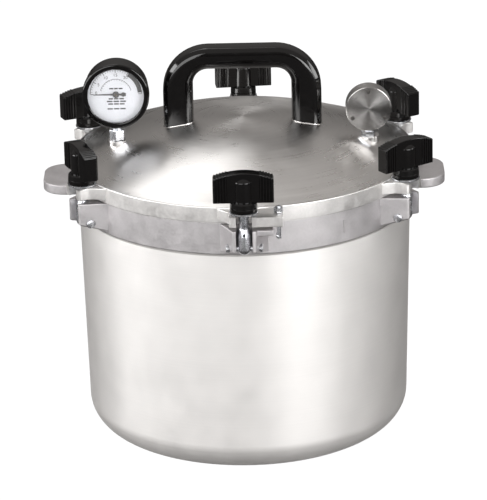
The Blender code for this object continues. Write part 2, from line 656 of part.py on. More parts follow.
# ---- Top handle -----------------------------------------------------------------------------------
def handle_outline():
    """The arch seen from the front: X sideways, Y upwards from the foot."""
    half, height, corner = HANDLE_WIDTH / 2, HANDLE_HEIGHT, HANDLE_CORNER_RADIUS
    inner_half = half - HANDLE_LEG_WIDTH
    inner_height = height - HANDLE_BAR_HEIGHT
    inner_corner = HANDLE_INNER_CORNER_RADIUS
    points = [(half, 0)]
    points += arc((half - corner, height - corner), corner, 0, 90, 6)
    points += arc((-half + corner, height - corner), corner, 90, 180, 6)
    points += [(-half, 0), (-inner_half, handle_climb())]
    points += arc((-inner_half + inner_corner, inner_height - inner_corner), inner_corner, 180, 90, 4)
    points += arc((inner_half - inner_corner, inner_height - inner_corner), inner_corner, 90, 0, 4)
    points += [(inner_half, handle_climb())]
    return points


def build_top_handle(finish):
    foot = handle_foot() + GAP
    shape = extruded(handle_outline(), -HANDLE_DEPTH / 2, HANDLE_DEPTH / 2)
    handle = placed(shape, "top_handle", finish, (0, 0, foot), 0.0, UPRIGHT)
    bevel = handle.modifiers.new("rounded edges", "BEVEL")
    bevel.width = HANDLE_EDGE_RADIUS
    bevel.segments = 3
    bevel.limit_method = "ANGLE"
    bevel.angle_limit = math.radians(60)
    keep_evaluated(handle)
    for side in (-1, 1):
        bore = disc(HANDLE_SCREW_RADIUS + GAP, -OVERLAP, HANDLE_SCREW_REACH + 2 * GAP, TINY_STEPS)
        cut(handle, tool(bore, (side * handle_leg_x(), 0, foot)))
    return handle


def build_handle_screw(name, side, finish):
    """Comes up through the dome from inside the cover."""
    head_edge = handle_leg_x() + HANDLE_SCREW_HEAD_RADIUS
    head_top = dome_level(head_edge, 0, DOME_SPHERE_RADIUS - DOME_WALL) - GAP
    head_low = head_top - HANDLE_SCREW_HEAD_HEIGHT
    tip = handle_foot() + GAP + HANDLE_SCREW_REACH
    profile = [
        (0, head_low),
        (HANDLE_SCREW_HEAD_RADIUS * 0.7, head_low),
        (HANDLE_SCREW_HEAD_RADIUS, head_low + HANDLE_SCREW_HEAD_HEIGHT * 0.5),
        (HANDLE_SCREW_HEAD_RADIUS, head_top),
        (HANDLE_SCREW_RADIUS, head_top),
        (HANDLE_SCREW_RADIUS, tip),
        (0, tip),
    ]
    return placed(turned(profile, TINY_STEPS), name, finish, (side * handle_leg_x(), 0, 0))


# ---- Clamps ---------------------------------------------------------------------------------------
def build_clamp(name, azimuth, wing_direction, finishes):
    """One swing clamp. The bolt's origin is on the hinge pin's axis, and the nut's on the bolt's axis."""
    x, y = outward(azimuth, BOLT_CIRCLE_RADIUS)
    build_pin(f"clamp_pin_{name}", (x, y), azimuth, finishes["zinc_steel"])
    build_bolt(f"clamp_bolt_{name}", (x, y), azimuth, finishes["zinc_steel"])
    washer = ring(THREAD_RADIUS + RUNNING_GAP, WASHER_RADIUS, 0, WASHER_THICKNESS, SMALL_STEPS)
    placed(washer, f"clamp_washer_{name}", finishes["zinc_steel"], (x, y, WASHER_BOTTOM))
    build_wing_nut(f"wing_nut_{name}", (x, y), wing_direction, finishes["black_phenolic"])
    insert = ring(THREAD_RADIUS + RUNNING_GAP, INSERT_RADIUS, 0, INSERT_LENGTH, SMALL_STEPS)
    placed(insert, f"nut_insert_{name}", finishes["brass"], (x, y, NUT_BOTTOM + GAP))


def build_pin(name, at, azimuth, finish):
    """A plain pin with a riveted head in the pocket at each side of the lug."""
    inner = PIN_SEAT + GAP
    end = inner + PIN_HEAD_HEIGHT
    shoulder = end - PIN_HEAD_EDGE
    head = [(PIN_RADIUS, inner), (PIN_HEAD_RADIUS, inner), (PIN_HEAD_RADIUS, shoulder),
            (PIN_HEAD_RADIUS * 0.85, end), (0, end)]
    profile = [(r, -z) for r, z in reversed(head)] + head
    placed(turned(profile, TINY_STEPS), name, finish, (*at, PIN_LEVEL), azimuth, ALONG_Y)


def build_bolt(name, at, azimuth, finish):
    thread_low = NUT_BOTTOM - THREAD_LENGTH_BELOW_NUT - PIN_LEVEL
    top = NUT_BOTTOM + BOLT_IN_NUT - PIN_LEVEL
    profile = [(0, -EYE_RADIUS)]
    profile += arc((0, 0), EYE_RADIUS, -60, 0, 3)
    profile += [
        (EYE_RADIUS, thread_low - THREAD_RUNOUT),
        (THREAD_RADIUS, thread_low),
        (THREAD_RADIUS, top - BOLT_CHAMFER),
        (THREAD_RADIUS - BOLT_CHAMFER, top),
        (0, top),
    ]
    bolt = placed(turned(profile, SMALL_STEPS), name, finish, (*at, PIN_LEVEL), azimuth)
    eye = disc(PIN_RADIUS + RUNNING_GAP, -2 * EYE_RADIUS, 2 * EYE_RADIUS, TINY_STEPS)
    cut(bolt, tool(eye, (*at, PIN_LEVEL), azimuth, ALONG_Y))


def wing_outline():
    """The wings seen from the front: X along them, Y upwards from the nut's foot."""
    span, edge = WING_HALF_SPAN, WING_EDGE
    low, crown = NUT_COLLAR_HEIGHT - WING_SINK, NUT_HEIGHT - WING_CROWN_DROP
    points = [(-span, low + edge), (-span + edge, low), (span - edge, low), (span, low + edge)]
    steps = 8
    for i in range(steps + 1):
        share = 1 - 2 * i / steps
        points.append((span * share, crown - WING_END_DROP * share**2))
    return points


def build_wing_nut(name, at, direction, finish):
    where = (*at, NUT_BOTTOM)
    body = [
        (0, 0), (NUT_COLLAR_RADIUS - COLLAR_EDGE, 0), (NUT_COLLAR_RADIUS, COLLAR_EDGE),
        (NUT_COLLAR_RADIUS - COLLAR_EDGE, NUT_COLLAR_HEIGHT - COLLAR_EDGE),
        (NUT_COLLAR_RADIUS - 2 * COLLAR_EDGE, NUT_COLLAR_HEIGHT),
        (NUT_HUB_RADIUS, NUT_COLLAR_HEIGHT + OFF_PLANE),
        (NUT_HUB_RADIUS, NUT_HEIGHT - HUB_SHOULDER_DROP),
        (0, NUT_HEIGHT - HUB_TOP_DROP),
    ]
    nut = placed(turned(body, SMALL_STEPS), name, finish, where, direction)
    wings = extruded(wing_outline(), -WING_HALF_THICKNESS, WING_HALF_THICKNESS)
    join(nut, tool(wings, where, direction, UPRIGHT))
    bore = disc(INSERT_RADIUS + GAP, -OVERLAP, BOLT_IN_NUT + BORE_BEYOND_BOLT, SMALL_STEPS)
    cut(nut, tool(bore, where))


# ---- Locating hook ----------------------------------------------------------------------------------
def hook_at():
    """Where the hook's wire passes through the long ear of the front lug."""
    azimuth = math.radians(CLAMPS[0][1])
    out = Vector((math.cos(azimuth), math.sin(azimuth)))
    sideways = Vector((-out.y, out.x))
    at = out * (BOLT_CIRCLE_RADIUS - HOOK_INSET) + sideways * HOOK_OFFSET
    return at.x, at.y


def wire(name, points, radius, finish):
    """A round wire with filled ends, along the points."""
    curve = bpy.data.curves.new(name, "CURVE")
    curve.dimensions = "3D"
    curve.bevel_depth = radius
    curve.bevel_resolution = 2
    curve.use_fill_caps = True
    line = curve.splines.new("POLY")
    line.points.add(len(points) - 1)
    for point, at in zip(line.points, points):
        point.co = (*at, 1.0)
    made = bpy.data.objects.new(name, curve)
    bpy.context.scene.collection.objects.link(made)
    curve.materials.append(finish)
    return made


def build_hook(finish):
    x, y = hook_at()
    nut_low = LUG_TOP + GAP
    bend_low = LUG_BOTTOM - HOOK_DROP + HOOK_BEND_RADIUS
    top = nut_low + HOOK_NUT_HEIGHT + HOOK_TIP
    # the wire's end curls back towards the bolt
    bend = arc((x - HOOK_BEND_RADIUS, bend_low), HOOK_BEND_RADIUS, 0, -90, 5)
    points = [(x, y, top), (x, y, (top + bend_low) / 2)] + [(px, y, pz) for px, pz in bend]
    wire("locating_hook", points, HOOK_WIRE_RADIUS, finish)
    nut = placed(disc(HOOK_NUT_RADIUS, 0, HOOK_NUT_HEIGHT, 6), "hook_nut", finish, (x, y, nut_low), 15.0)
    hole = disc(HOOK_WIRE_RADIUS + GAP, -OVERLAP, HOOK_NUT_HEIGHT + OVERLAP, TINY_STEPS)
    cut(nut, tool(hole, (x, y, nut_low)))


# ---- Vent pipe, regulator weight and overpressure plug ------------------------------------------------
def vent_boss_top():
    return dome_level(*VENT_AT) + BOSS_RISE


def weight_bottom():
    return vent_boss_top() + GAP + VENT_HEX_HEIGHT + WEIGHT_LIFT_GAP


def build_vent_pipe(finish):
    x, y = VENT_AT
    low = dome_level(x, y) - DOME_WALL - VENT_TAIL
    hex_low = vent_boss_top() + GAP
    top = weight_bottom() + VENT_REACH
    bore = VENT_BORE_RADIUS
    profile = [
        (bore, low), (VENT_PIPE_RADIUS, low), (VENT_PIPE_RADIUS, top - VENT_TIP),
        (VENT_PIPE_RADIUS * 0.7, top), (bore, top), (bore, low),
    ]
    pipe = placed(turned(profile, SMALL_STEPS), "vent_pipe", finish, (x, y, 0))
    collar = tool(disc(VENT_HEX_RADIUS, hex_low, hex_low + VENT_HEX_HEIGHT, 6), (x, y, 0), 10.0)
    cut(collar, tool(disc(VENT_PIPE_RADIUS * 0.8, low, top, TINY_STEPS), (x, y, 0)))
    join(pipe, collar)
    return pipe


def build_weight(finish):
    """A thick disc that stands on edge on the vent pipe, with a cross port for each of its settings."""
    x, y = VENT_AT
    centre = weight_bottom() + WEIGHT_RADIUS
    half, edge = WEIGHT_THICKNESS / 2, WEIGHT_EDGE
    profile = [
        (0, -half), (WEIGHT_RADIUS - edge, -half), (WEIGHT_RADIUS, -half + edge),
        (WEIGHT_RADIUS, half - edge), (WEIGHT_RADIUS - edge, half), (0, half),
    ]
    weight = placed(turned(profile, MID_STEPS), "regulator_weight", finish, (x, y, centre), 0, ALONG_Y)
    seat = disc(VENT_PIPE_RADIUS + 2 * GAP, -WEIGHT_RADIUS - OVERLAP, -WEIGHT_RADIUS + VENT_REACH + SEAT_ROOM,
                SMALL_STEPS)
    cut(weight, tool(seat, (x, y, centre)))
    for angle in (90, 210, 330):
        px, pz = outward(angle, WEIGHT_RADIUS - WEIGHT_PORT_INSET)
        port = disc(WEIGHT_PORT_RADIUS, -WEIGHT_THICKNESS, WEIGHT_THICKNESS, TINY_STEPS)
        cut(weight, tool(port, (x + px, y, centre + pz), 0, ALONG_Y))
    return weight


def build_plug(finish):
    x, y = PLUG_AT
    head_low = dome_level(x, y) + BOSS_RISE + GAP
    low = dome_level(x, y) - DOME_WALL - PLUG_TAIL
    profile = [
        (0, low), (PLUG_NECK_RADIUS * 0.75, low), (PLUG_NECK_RADIUS, low + PLUG_LEAD_IN),
        (PLUG_NECK_RADIUS, head_low), (PLUG_HEAD_RADIUS, head_low),
        (PLUG_HEAD_RADIUS, head_low + PLUG_HEAD_HEIGHT * 0.55),
        (PLUG_HEAD_RADIUS * 0.8, head_low + PLUG_HEAD_HEIGHT * 0.9),
        (0, head_low + PLUG_HEAD_HEIGHT),
    ]
    placed(turned(profile, SMALL_STEPS), "overpressure_plug", finish, (x, y, 0))


# ---- Dial gauge ---------------------------------------------------------------------------------------
def gauge_centre():
    """The dial's centre, at the front face of the bezel."""
    x, y = GAUGE_AT
    return Vector((x, y - GAUGE_STEM_INSET, dome_level(x, y) + GAUGE_STANDOFF + BEZEL_RADIUS))


def build_gauge_shell(finishes):
    at = gauge_centre()
    black = finishes["black_phenolic"]
    front = BEZEL_LIP + 2 * GAP + LENS_THICKNESS
    back = GAUGE_DEPTH
    inner = CASE_INNER_RADIUS
    edge = CASE_EDGE
    profile = [
        (0, back), (CASE_RADIUS - edge, back), (CASE_RADIUS, back - edge), (CASE_RADIUS, front),
        (inner, front), (inner, back - CASE_WALL), (0, back - CASE_WALL),
    ]
    case = placed(turned(profile, MID_STEPS), "gauge_case", black, at, 0, ALONG_Y)
    stem_hole = disc(STEM_RADIUS + 2 * GAP, -CASE_RADIUS - OVERLAP, -inner + OVERLAP, SMALL_STEPS)
    cut(case, tool(stem_hole, (at.x, at.y + GAUGE_STEM_INSET, at.z)))
    over_case = CASE_RADIUS + GAP
    lip = BEZEL_LIP_RADIUS
    profile = [
        (lip, BEZEL_EDGE), (lip + BEZEL_EDGE, 0), (BEZEL_RADIUS - BEZEL_EDGE, 0), (BEZEL_RADIUS, BEZEL_EDGE),
        (BEZEL_RADIUS, BEZEL_DEPTH), (over_case, BEZEL_DEPTH), (over_case, BEZEL_LIP),
        (lip, BEZEL_LIP), (lip, BEZEL_EDGE),
    ]
    placed(turned(profile, MID_STEPS), "gauge_bezel", black, at, 0, ALONG_Y)
    lens_front = BEZEL_LIP + GAP
    lens = disc(CASE_RADIUS - GAP, lens_front, lens_front + LENS_THICKNESS, MID_STEPS)
    placed(lens, "gauge_lens", finishes["clear_glass"], at, 0, ALONG_Y)
    dial = ring(SPINDLE_RADIUS + 3 * GAP, inner - GAP, DIAL_DEPTH, DIAL_DEPTH + DIAL_THICKNESS, MID_STEPS)
    placed(dial, "gauge_dial", finishes["dial_white"], at, 0, ALONG_Y)


def socket_top():
    """The socket block's upper face, from the dial's centre."""
    return SOCKET_BLOCK[2] + SOCKET_INSET - CASE_INNER_RADIUS


def build_socket(finish):
    """The block inside the case, and the stem that screws into the cover."""
    at = gauge_centre()
    stem = Vector((at.x, at.y + GAUGE_STEM_INSET, 0))
    wide, deep, tall = SOCKET_BLOCK
    low = dome_level(*GAUGE_AT) - DOME_WALL - STEM_TAIL
    block_top = at.z + socket_top()
    block_low = block_top - tall
    shaft = disc(STEM_RADIUS, low, block_low + STEM_IN_BLOCK, SMALL_STEPS)
    socket = placed(shaft, "gauge_socket", finish, stem)
    block = rounded_rectangle(-wide / 2, wide / 2, -deep / 2, deep / 2, BLOCK_CORNER, 1)
    join(socket, tool(extruded(block, block_low, block_top), stem))
    hex_low = dome_level(*GAUGE_AT) + BOSS_RISE + GAP
    hex_high = hex_low + 0.6 * (at.z - CASE_RADIUS - hex_low)
    join(socket, tool(disc(STEM_HEX_RADIUS, hex_low, hex_high, 6), stem, 20.0))
    return socket


def build_bourdon_tube(finish):
    """The curved tube that straightens under pressure and drives the sector gear."""
    at = gauge_centre()
    radius = CASE_INNER_RADIUS - TUBE_INSET
    clear_of_block = SOCKET_BLOCK[0] / 2 + 2 * GAP
    start = math.degrees(math.asin(clear_of_block / radius)) - 90.0
    y = at.y + GAUGE_STEM_INSET + OVERLAP
    points = [(px, y, pz) for px, pz in arc((at.x, at.z), radius, start, start + TUBE_SWEEP, 22)]
    wire("bourdon_tube", points, TUBE_RADIUS, finish)


def gear_outline(teeth, kept, module):
    """A toothed outline around +X. The teeth are straight-sided and slim, so that they turn free."""
    pitch = module * teeth / 2
    tip, root = pitch + 0.75 * module, pitch - 1.05 * module
    step = 360 / teeth
    points = []
    for i in range(kept):
        middle = (i - (kept - 1) / 2) * step
        for radius, offset in ((root, -0.30), (tip, -0.10), (tip, 0.10), (root, 0.30)):
            points.append(outward(middle + offset * step, radius))
    return points


def gear_module():
    """The sector's pivot stands just above the socket block, and that sets the size of the teeth."""
    drop = -socket_top() - MOVEMENT_MARGIN
    return 2 * drop / (PINION_TEETH + SECTOR_TEETH)


def build_movement(finishes):
    """The plate, the sector gear on its pin, and the spindle with its pinion, which carries the needle."""
    at = gauge_centre()
    brass = finishes["brass"]
    module = gear_module()
    drop = module * (PINION_TEETH + SECTOR_TEETH) / 2
    pivot = at - Vector((0, 0, drop))
    plate_front = DIAL_DEPTH + DIAL_THICKNESS + MOVEMENT_GAP
    plate_back = plate_front + MOVEMENT_PLATE_THICKNESS
    gear_front = plate_back + GEAR_GAP
    gear_back = gear_front + GEAR_FACE
    # the outline's Y goes down and its thickness to the back
    half, top, bottom = MOVEMENT_HALF_WIDTH, MOVEMENT_ABOVE, drop + MOVEMENT_BELOW
    outline = rounded_rectangle(-half, half, -top, bottom, MOVEMENT_CORNER, 2)
    plate = extruded(outline, plate_front, plate_back)
    plate = placed(plate, "movement_plate", brass, at, 0, ALONG_Y)
    for hole_at in (at, pivot):
        hole = disc(SPINDLE_RADIUS + 2 * GAP, plate_front - OVERLAP, plate_back + OVERLAP, TINY_STEPS)
        cut(plate, tool(hole, hole_at, 0, ALONG_Y))
    pin = disc(SPINDLE_RADIUS, plate_front, gear_back + PIVOT_BEYOND_GEAR, TINY_STEPS)
    placed(pin, "sector_pin", finishes["zinc_steel"], pivot, 0, ALONG_Y)

    # a gap of the sector faces the pinion, and one tooth of the pinion stands in it
    step = 360 / SECTOR_TEETH
    sector = extruded(sector_outline(module), gear_front, gear_back)
    facing = Matrix.Rotation(math.radians(-90 + SECTOR_START_TEETH * step), 3, "Y") @ ALONG_Y
    sector = placed(sector, "sector_gear", brass, pivot, 0, facing)
    hole = disc(SPINDLE_RADIUS + RUNNING_GAP, gear_front - OVERLAP, gear_back + OVERLAP, TINY_STEPS)
    cut(sector, tool(hole, pivot, 0, ALONG_Y))

    spindle_front = DIAL_DEPTH - SPINDLE_AHEAD
    spindle = disc(SPINDLE_RADIUS, spindle_front, gear_back + PIVOT_BEYOND_GEAR, TINY_STEPS)
    spindle = placed(spindle, "needle_spindle", brass, at, 0, ALONG_Y)
    pinion = extruded(gear_outline(PINION_TEETH, PINION_TEETH, module), gear_front, gear_back)
    facing = Matrix.Rotation(math.radians(90 + 180 / PINION_TEETH), 3, "Y") @ ALONG_Y
    join(spindle, tool(pinion, at, 0, facing))

    needle_back = DIAL_DEPTH - NEEDLE_AHEAD
    needle_front = needle_back - NEEDLE_THICKNESS
    tail = NEEDLE_TAIL
    tip, blade, flare = NEEDLE_TIP_HALF_WIDTH, NEEDLE_HALF_WIDTH, NEEDLE_FLARE_HALF_WIDTH
    side = [(-NEEDLE_LENGTH, tip), (0, blade), (tail * 0.55, blade), (tail * 0.7, flare), (tail, 0.7 * flare)]
    needle = extruded(side + [(x, -y) for x, y in reversed(side)], needle_front, needle_back)
    needle = placed(needle, "gauge_needle", finishes["needle_black"], at, 0, ALONG_Y)
    hub = disc(NEEDLE_HUB_RADIUS, needle_front - HUB_AHEAD, needle_back + HUB_BEHIND, SMALL_STEPS)
    join(needle, tool(hub, at, 0, ALONG_Y))
    bore = disc(SPINDLE_RADIUS + GAP, spindle_front - OVERLAP, needle_back + OVERLAP, TINY_STEPS)
    cut(needle, tool(bore, at, 0, ALONG_Y))


def sector_outline(module):
    """A toothed rim on a narrowing web, around +X, with a round boss at the pivot."""
    teeth = gear_outline(SECTOR_TEETH, SECTOR_KEPT_TEETH, module)
    reach = math.hypot(*teeth[0])
    boss = 3 * SPINDLE_RADIUS
    back = arc((0, 0), boss, 110, 250, 6)
    waist = (reach * 0.5, reach * 0.2)
    return teeth + [waist, (0, boss)] + back[1:-1] + [(0, -boss), (waist[0], -waist[1])]


# ---- Jar rack -------------------------------------------------------------------------------------------
def build_rack(finish):
    radius = POT_INNER_FOOT_RADIUS - RACK_CLEARANCE
    skirt = POT_INNER_FOOT_RADIUS - POT_INNER_CORNER_RADIUS - RACK_FOOT_CLEARANCE
    foot = POT_FLOOR + GAP
    top = foot + RACK_SKIRT_HEIGHT
    under = top - RACK_THICKNESS
    profile = [
        (0, top), (radius, top), (radius, under), (skirt, under), (skirt, foot),
        (skirt - RACK_THICKNESS, foot), (skirt - RACK_THICKNESS, under), (0, under),
    ]
    rack = placed(turned(profile, BIG_STEPS), "jar_rack", finish)
    for circle, count, hole_radius in RACK_HOLES:
        for i in range(count):
            x, y = outward(360 * (i + 0.5) / count, circle)
            cut(rack, tool(disc(hole_radius, under - OVERLAP, top + OVERLAP, TINY_STEPS), (x, y, 0)))
    return rack


def main():
    for old in list(bpy.data.objects):
        bpy.data.objects.remove(old)
    finishes = materials()
    build_pot(finishes["satin_aluminium"])
    build_rack(finishes["satin_aluminium"])
    build_cover(finishes["polished_aluminium"])
    build_top_handle(finishes["black_phenolic"])
    build_handle_screw("handle_screw_left", -1, finishes["zinc_steel"])
    build_handle_screw("handle_screw_right", 1, finishes["zinc_steel"])
    for name, azimuth, wing_direction in CLAMPS:
        build_clamp(name, azimuth, wing_direction, finishes)
    build_hook(finishes["zinc_steel"])
    build_vent_pipe(finishes["zinc_steel"])
    build_weight(finishes["polished_aluminium"])
    build_plug(finishes["black_rubber"])
    build_gauge_shell(finishes)
    build_socket(finishes["zinc_steel"])
    build_bourdon_tube(finishes["brass"])
    build_movement(finishes)


main()
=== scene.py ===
"""The looks of a pressure canner: its fine surfaces, finishes, studio and camera.

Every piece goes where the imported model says, and moves with that model's bodies. Lengths are in metres,
+Z is up, the front of the canner faces -Y, and azimuths are degrees from +X, anticlockwise from above.
"""

import json
import logging
import math
from contextlib import contextmanager
from dataclasses import dataclass, field
from enum import Enum
from typing import Callable, Iterator, Sequence

import bmesh
import bpy
from mathutils import Matrix, Vector


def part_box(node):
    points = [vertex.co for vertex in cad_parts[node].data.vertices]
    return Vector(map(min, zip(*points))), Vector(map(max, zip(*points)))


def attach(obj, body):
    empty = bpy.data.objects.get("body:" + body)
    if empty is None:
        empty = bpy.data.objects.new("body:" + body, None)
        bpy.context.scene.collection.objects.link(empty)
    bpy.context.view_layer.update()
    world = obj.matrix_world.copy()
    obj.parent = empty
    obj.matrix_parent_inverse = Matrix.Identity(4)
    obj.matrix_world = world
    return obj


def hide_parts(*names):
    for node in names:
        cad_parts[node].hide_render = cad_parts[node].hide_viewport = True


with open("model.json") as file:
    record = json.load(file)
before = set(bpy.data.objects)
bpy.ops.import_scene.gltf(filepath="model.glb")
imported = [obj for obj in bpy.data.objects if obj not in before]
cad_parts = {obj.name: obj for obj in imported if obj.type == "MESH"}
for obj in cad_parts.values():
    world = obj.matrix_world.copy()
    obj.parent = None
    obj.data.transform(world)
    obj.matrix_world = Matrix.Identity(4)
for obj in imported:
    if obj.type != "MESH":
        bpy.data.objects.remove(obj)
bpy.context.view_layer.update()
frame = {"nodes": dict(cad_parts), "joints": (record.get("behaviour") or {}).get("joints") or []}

LOG = logging.getLogger("canner")
Point = tuple[float, ...]
MM = 0.001
WELD = 1e-6
SMOOTH = 30.0            # degrees: edges flatter than this are shaded round
JOINTS = {joint["name"]: joint for joint in frame["joints"]}


class Solid(Enum):
    """What a second shape does to the first."""

    ADD = "UNION"
    TAKE = "DIFFERENCE"
    KEEP = "INTERSECT"        # what both hold stays


class Lie(Enum):
    """How a shape that was drawn around +Z is turned, in degrees about X."""

    UP = 0.0          # as drawn
    BACK = -90.0      # its +Z goes to +Y, away from the front
    FRONT = 90.0      # its +Y goes up, and its +Z to -Y, towards the front


# ---- Modelling by hand ----------------------------------------------------------------------------
def only(piece: bpy.types.Object) -> None:
    """Selects one object, and makes it the active one.

    Args:
        piece: the object.
    """
    bpy.ops.object.select_all(action="DESELECT")
    piece.select_set(True)
    bpy.context.view_layer.objects.active = piece


@contextmanager
def edit(piece: bpy.types.Object) -> Iterator[None]:
    """Opens an object in edit mode with all of it selected, and closes it again.

    Args:
        piece: the object.
    """
    only(piece)
    bpy.ops.object.mode_set(mode="EDIT")
    bpy.ops.mesh.select_mode(type="VERT")
    bpy.ops.mesh.select_all(action="SELECT")
    yield
    bpy.ops.object.mode_set(mode="OBJECT")


def select_edges(piece: bpy.types.Object, wanted: Callable[[Vector, Vector], bool]) -> None:
    """Selects the edges of a mesh in edit mode by where their two ends are.

    Args:
        piece: the object that is open in edit mode.
        wanted: says yes to the two ends of an edge.
    """
    bpy.ops.mesh.select_mode(type="EDGE")
    bpy.ops.mesh.select_all(action="DESELECT")
    shape = bmesh.from_edit_mesh(piece.data)
    for edge in shape.edges:
        if wanted(edge.verts[0].co, edge.verts[1].co):
            edge.select_set(True)
    bmesh.update_edit_mesh(piece.data)


def welded() -> None:
    """Selects the whole mesh in edit mode, merges its doubles and turns its faces outwards."""
    bpy.ops.mesh.select_all(action="SELECT")
    bpy.ops.mesh.remove_doubles(threshold=WELD)
    bpy.ops.mesh.normals_make_consistent(inside=False)


def line(name: str, points: Sequence[Point], closed: bool = False) -> bpy.types.Object:
    """Draws a line: a plane is merged to one vertex, which is extruded from point to point.

    Args:
        name: the object's name.
        points: where the line goes.
        closed: whether it comes back to its first point.

    Returns:
        The line's object.
    """
    route = [Vector(point) for point in points]
    if closed:
        route.append(route[0])
    bpy.ops.object.select_all(action="DESELECT")
    bpy.ops.mesh.primitive_plane_add(size=MM, location=route[0])
    piece = bpy.context.object
    piece.name = name
    bpy.ops.object.transform_apply(location=True)
    with edit(piece):
        bpy.ops.mesh.merge(type="CENTER")
        for start, end in zip(route, route[1:]):
            bpy.ops.mesh.extrude_vertices_move(TRANSFORM_OT_translate={"value": end - start})
        bpy.ops.mesh.select_all(action="SELECT")
        bpy.ops.mesh.remove_doubles(threshold=WELD)
    return piece


def placed(
    piece: bpy.types.Object, at: Point = (0, 0, 0), turn: float = 0.0, lie: Lie = Lie.UP
) -> bpy.types.Object:
    """Lays a shape, turns it about the vertical, puts it in its place, and applies all three.

    Args:
        piece: the object.
        at: where its own origin goes.
        turn: degrees about +Z.
        lie: how it is laid first.

    Returns:
        The same object.
    """
    laid = Matrix.Rotation(math.radians(lie.value), 4, "X")
    piece.matrix_world = Matrix.Translation(at) @ Matrix.Rotation(math.radians(turn), 4, "Z") @ laid
    only(piece)
    bpy.ops.object.transform_apply(location=True, rotation=True, scale=True)
    return piece


def turned(
    name: str, profile: Sequence[Point], steps: int, at: Point = (0, 0, 0), lie: Lie = Lie.UP,
    closed: bool = False,
) -> bpy.types.Object:
    """Spins a profile of (radius, height) points about an axis.

    Args:
        name: the object's name.
        profile: from axis to axis, or a closed outline off the axis.
        steps: how many sides the round has.
        at: where the profile's (0, 0) goes.
        lie: where the axis points.
        closed: whether the profile is a closed outline.

    Returns:
        The turned object.
    """
    piece = line(name, [(r, 0, z) for r, z in profile], closed)
    with edit(piece):
        bpy.ops.mesh.spin(steps=steps, angle=2 * math.pi, center=(0, 0, 0), axis=(0, 0, 1))
        welded()
    return placed(piece, at, 0.0, lie)


def rod(
    name: str, radius: float, low: float, high: float, steps: int = 32, at: Point = (0, 0, 0),
    lie: Lie = Lie.UP,
) -> bpy.types.Object:
    """A plain round bar or disc, for joining and cutting."""
    return turned(name, [(0, low), (radius, low), (radius, high), (0, high)], steps, at, lie)


def prism(
    name: str, outline: Sequence[Point], low: float, high: float, at: Point = (0, 0, 0),
    turn: float = 0.0, lie: Lie = Lie.UP,
) -> bpy.types.Object:
    """Fills an outline and extrudes it.

    Args:
        name: the object's name.
        outline: (x, y) points in order.
        low: where the extrusion starts.
        high: where it ends.
        at: where the outline's origin goes.
        turn: degrees about +Z.
        lie: how it is laid.

    Returns:
        The extruded object.
    """
    piece = line(name, [(x, y, low) for x, y in outline], closed=True)
    with edit(piece):
        bpy.ops.mesh.edge_face_add()
        bpy.ops.mesh.extrude_region_move(TRANSFORM_OT_translate={"value": (0, 0, high - low)})
        bpy.ops.mesh.select_all(action="SELECT")
        bpy.ops.mesh.normals_make_consistent(inside=False)
    return placed(piece, at, turn, lie)


def combined(piece: bpy.types.Object, other: bpy.types.Object, how: Solid) -> bpy.types.Object:
    """Adds a second solid to the first, takes it away, or keeps what both hold, and uses it up.

    Args:
        piece: the first solid.
        other: the second solid.
        how: what the second does.

    Returns:
        The first solid.
    """
    only(piece)
    modifier = piece.modifiers.new(how.name, "BOOLEAN")
    modifier.operation = how.value
    modifier.object = other
    bpy.ops.object.modifier_apply(modifier=modifier.name)
    bpy.data.objects.remove(other)
    return piece


def eased(piece: bpy.types.Object, width: float, segments: int = 2, angle: float = 35.0) -> bpy.types.Object:
    """Rounds the edges that are sharper than an angle.

    Args:
        piece: the object.
        width: how far the rounding reaches.
        segments: its steps.
        angle: degrees.

    Returns:
        The same object.
    """
    only(piece)
    modifier = piece.modifiers.new("eased edges", "BEVEL")
    modifier.width = width
    modifier.segments = segments
    modifier.limit_method = "ANGLE"
    modifier.angle_limit = math.radians(angle)
    bpy.ops.object.modifier_apply(modifier=modifier.name)
    return piece


def duplicate(piece: bpy.types.Object, name: str) -> bpy.types.Object:
    """Copies an object, with a mesh of its own.

    Args:
        piece: the object.
        name: the copy's name.

    Returns:
        The copy.
    """
    only(piece)
    bpy.ops.object.duplicate(linked=False)
    copy = bpy.context.object
    copy.name = name
    return copy


def gathered(pieces: Sequence[bpy.types.Object], name: str) -> bpy.types.Object:
    """Joins objects into one, as separate shells.

    Args:
        pieces: the objects.
        name: the joined object's name.

    Returns:
        The joined object.
    """
    only(pieces[0])
    for piece in pieces[1:]:
        piece.select_set(True)
    bpy.ops.object.join()
    pieces[0].name = name
    return pieces[0]


def arc(centre: Point, radius: float, start: float, end: float, steps: int) -> list[Point]:
    """Points along an arc, both ends included.

    Args:
        centre: its centre.
        radius: its radius.
        start: where it starts, in degrees.
        end: where it ends, in degrees.
        steps: how many chords it has.

    Returns:
        The points.
    """
    angles = (math.radians(start + (end - start) * i / steps) for i in range(steps + 1))
    return [(centre[0] + radius * math.cos(a), centre[1] + radius * math.sin(a)) for a in angles]


def around(azimuth: float, radius: float) -> Point:
    """A point on a circle about the pot's axis, or about a dial's centre."""
    return radius * math.cos(math.radians(azimuth)), radius * math.sin(math.radians(azimuth))


def oblong(left: float, low: float, right: float, high: float) -> list[Point]:
    """The four corners of a rectangle, anticlockwise."""
    return [(left, low), (right, low), (right, high), (left, high)]


def mirrored(side: Sequence[Point]) -> list[Point]:
    """An outline from its half below the first axis: the half, and its mirror image on the way back."""
    return list(side) + [(x, -y) for x, y in reversed(side)]


def stands_at(node: str) -> Point:
    """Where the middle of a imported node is, seen from above."""
    low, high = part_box(node)
    return (low.x + high.x) / 2, (low.y + high.y) / 2


# ---- Finishes -------------------------------------------------------------------------------------
NOISE_LOW, NOISE_HIGH = 0.3, 0.7        # nearly all of a noise pattern lies between these


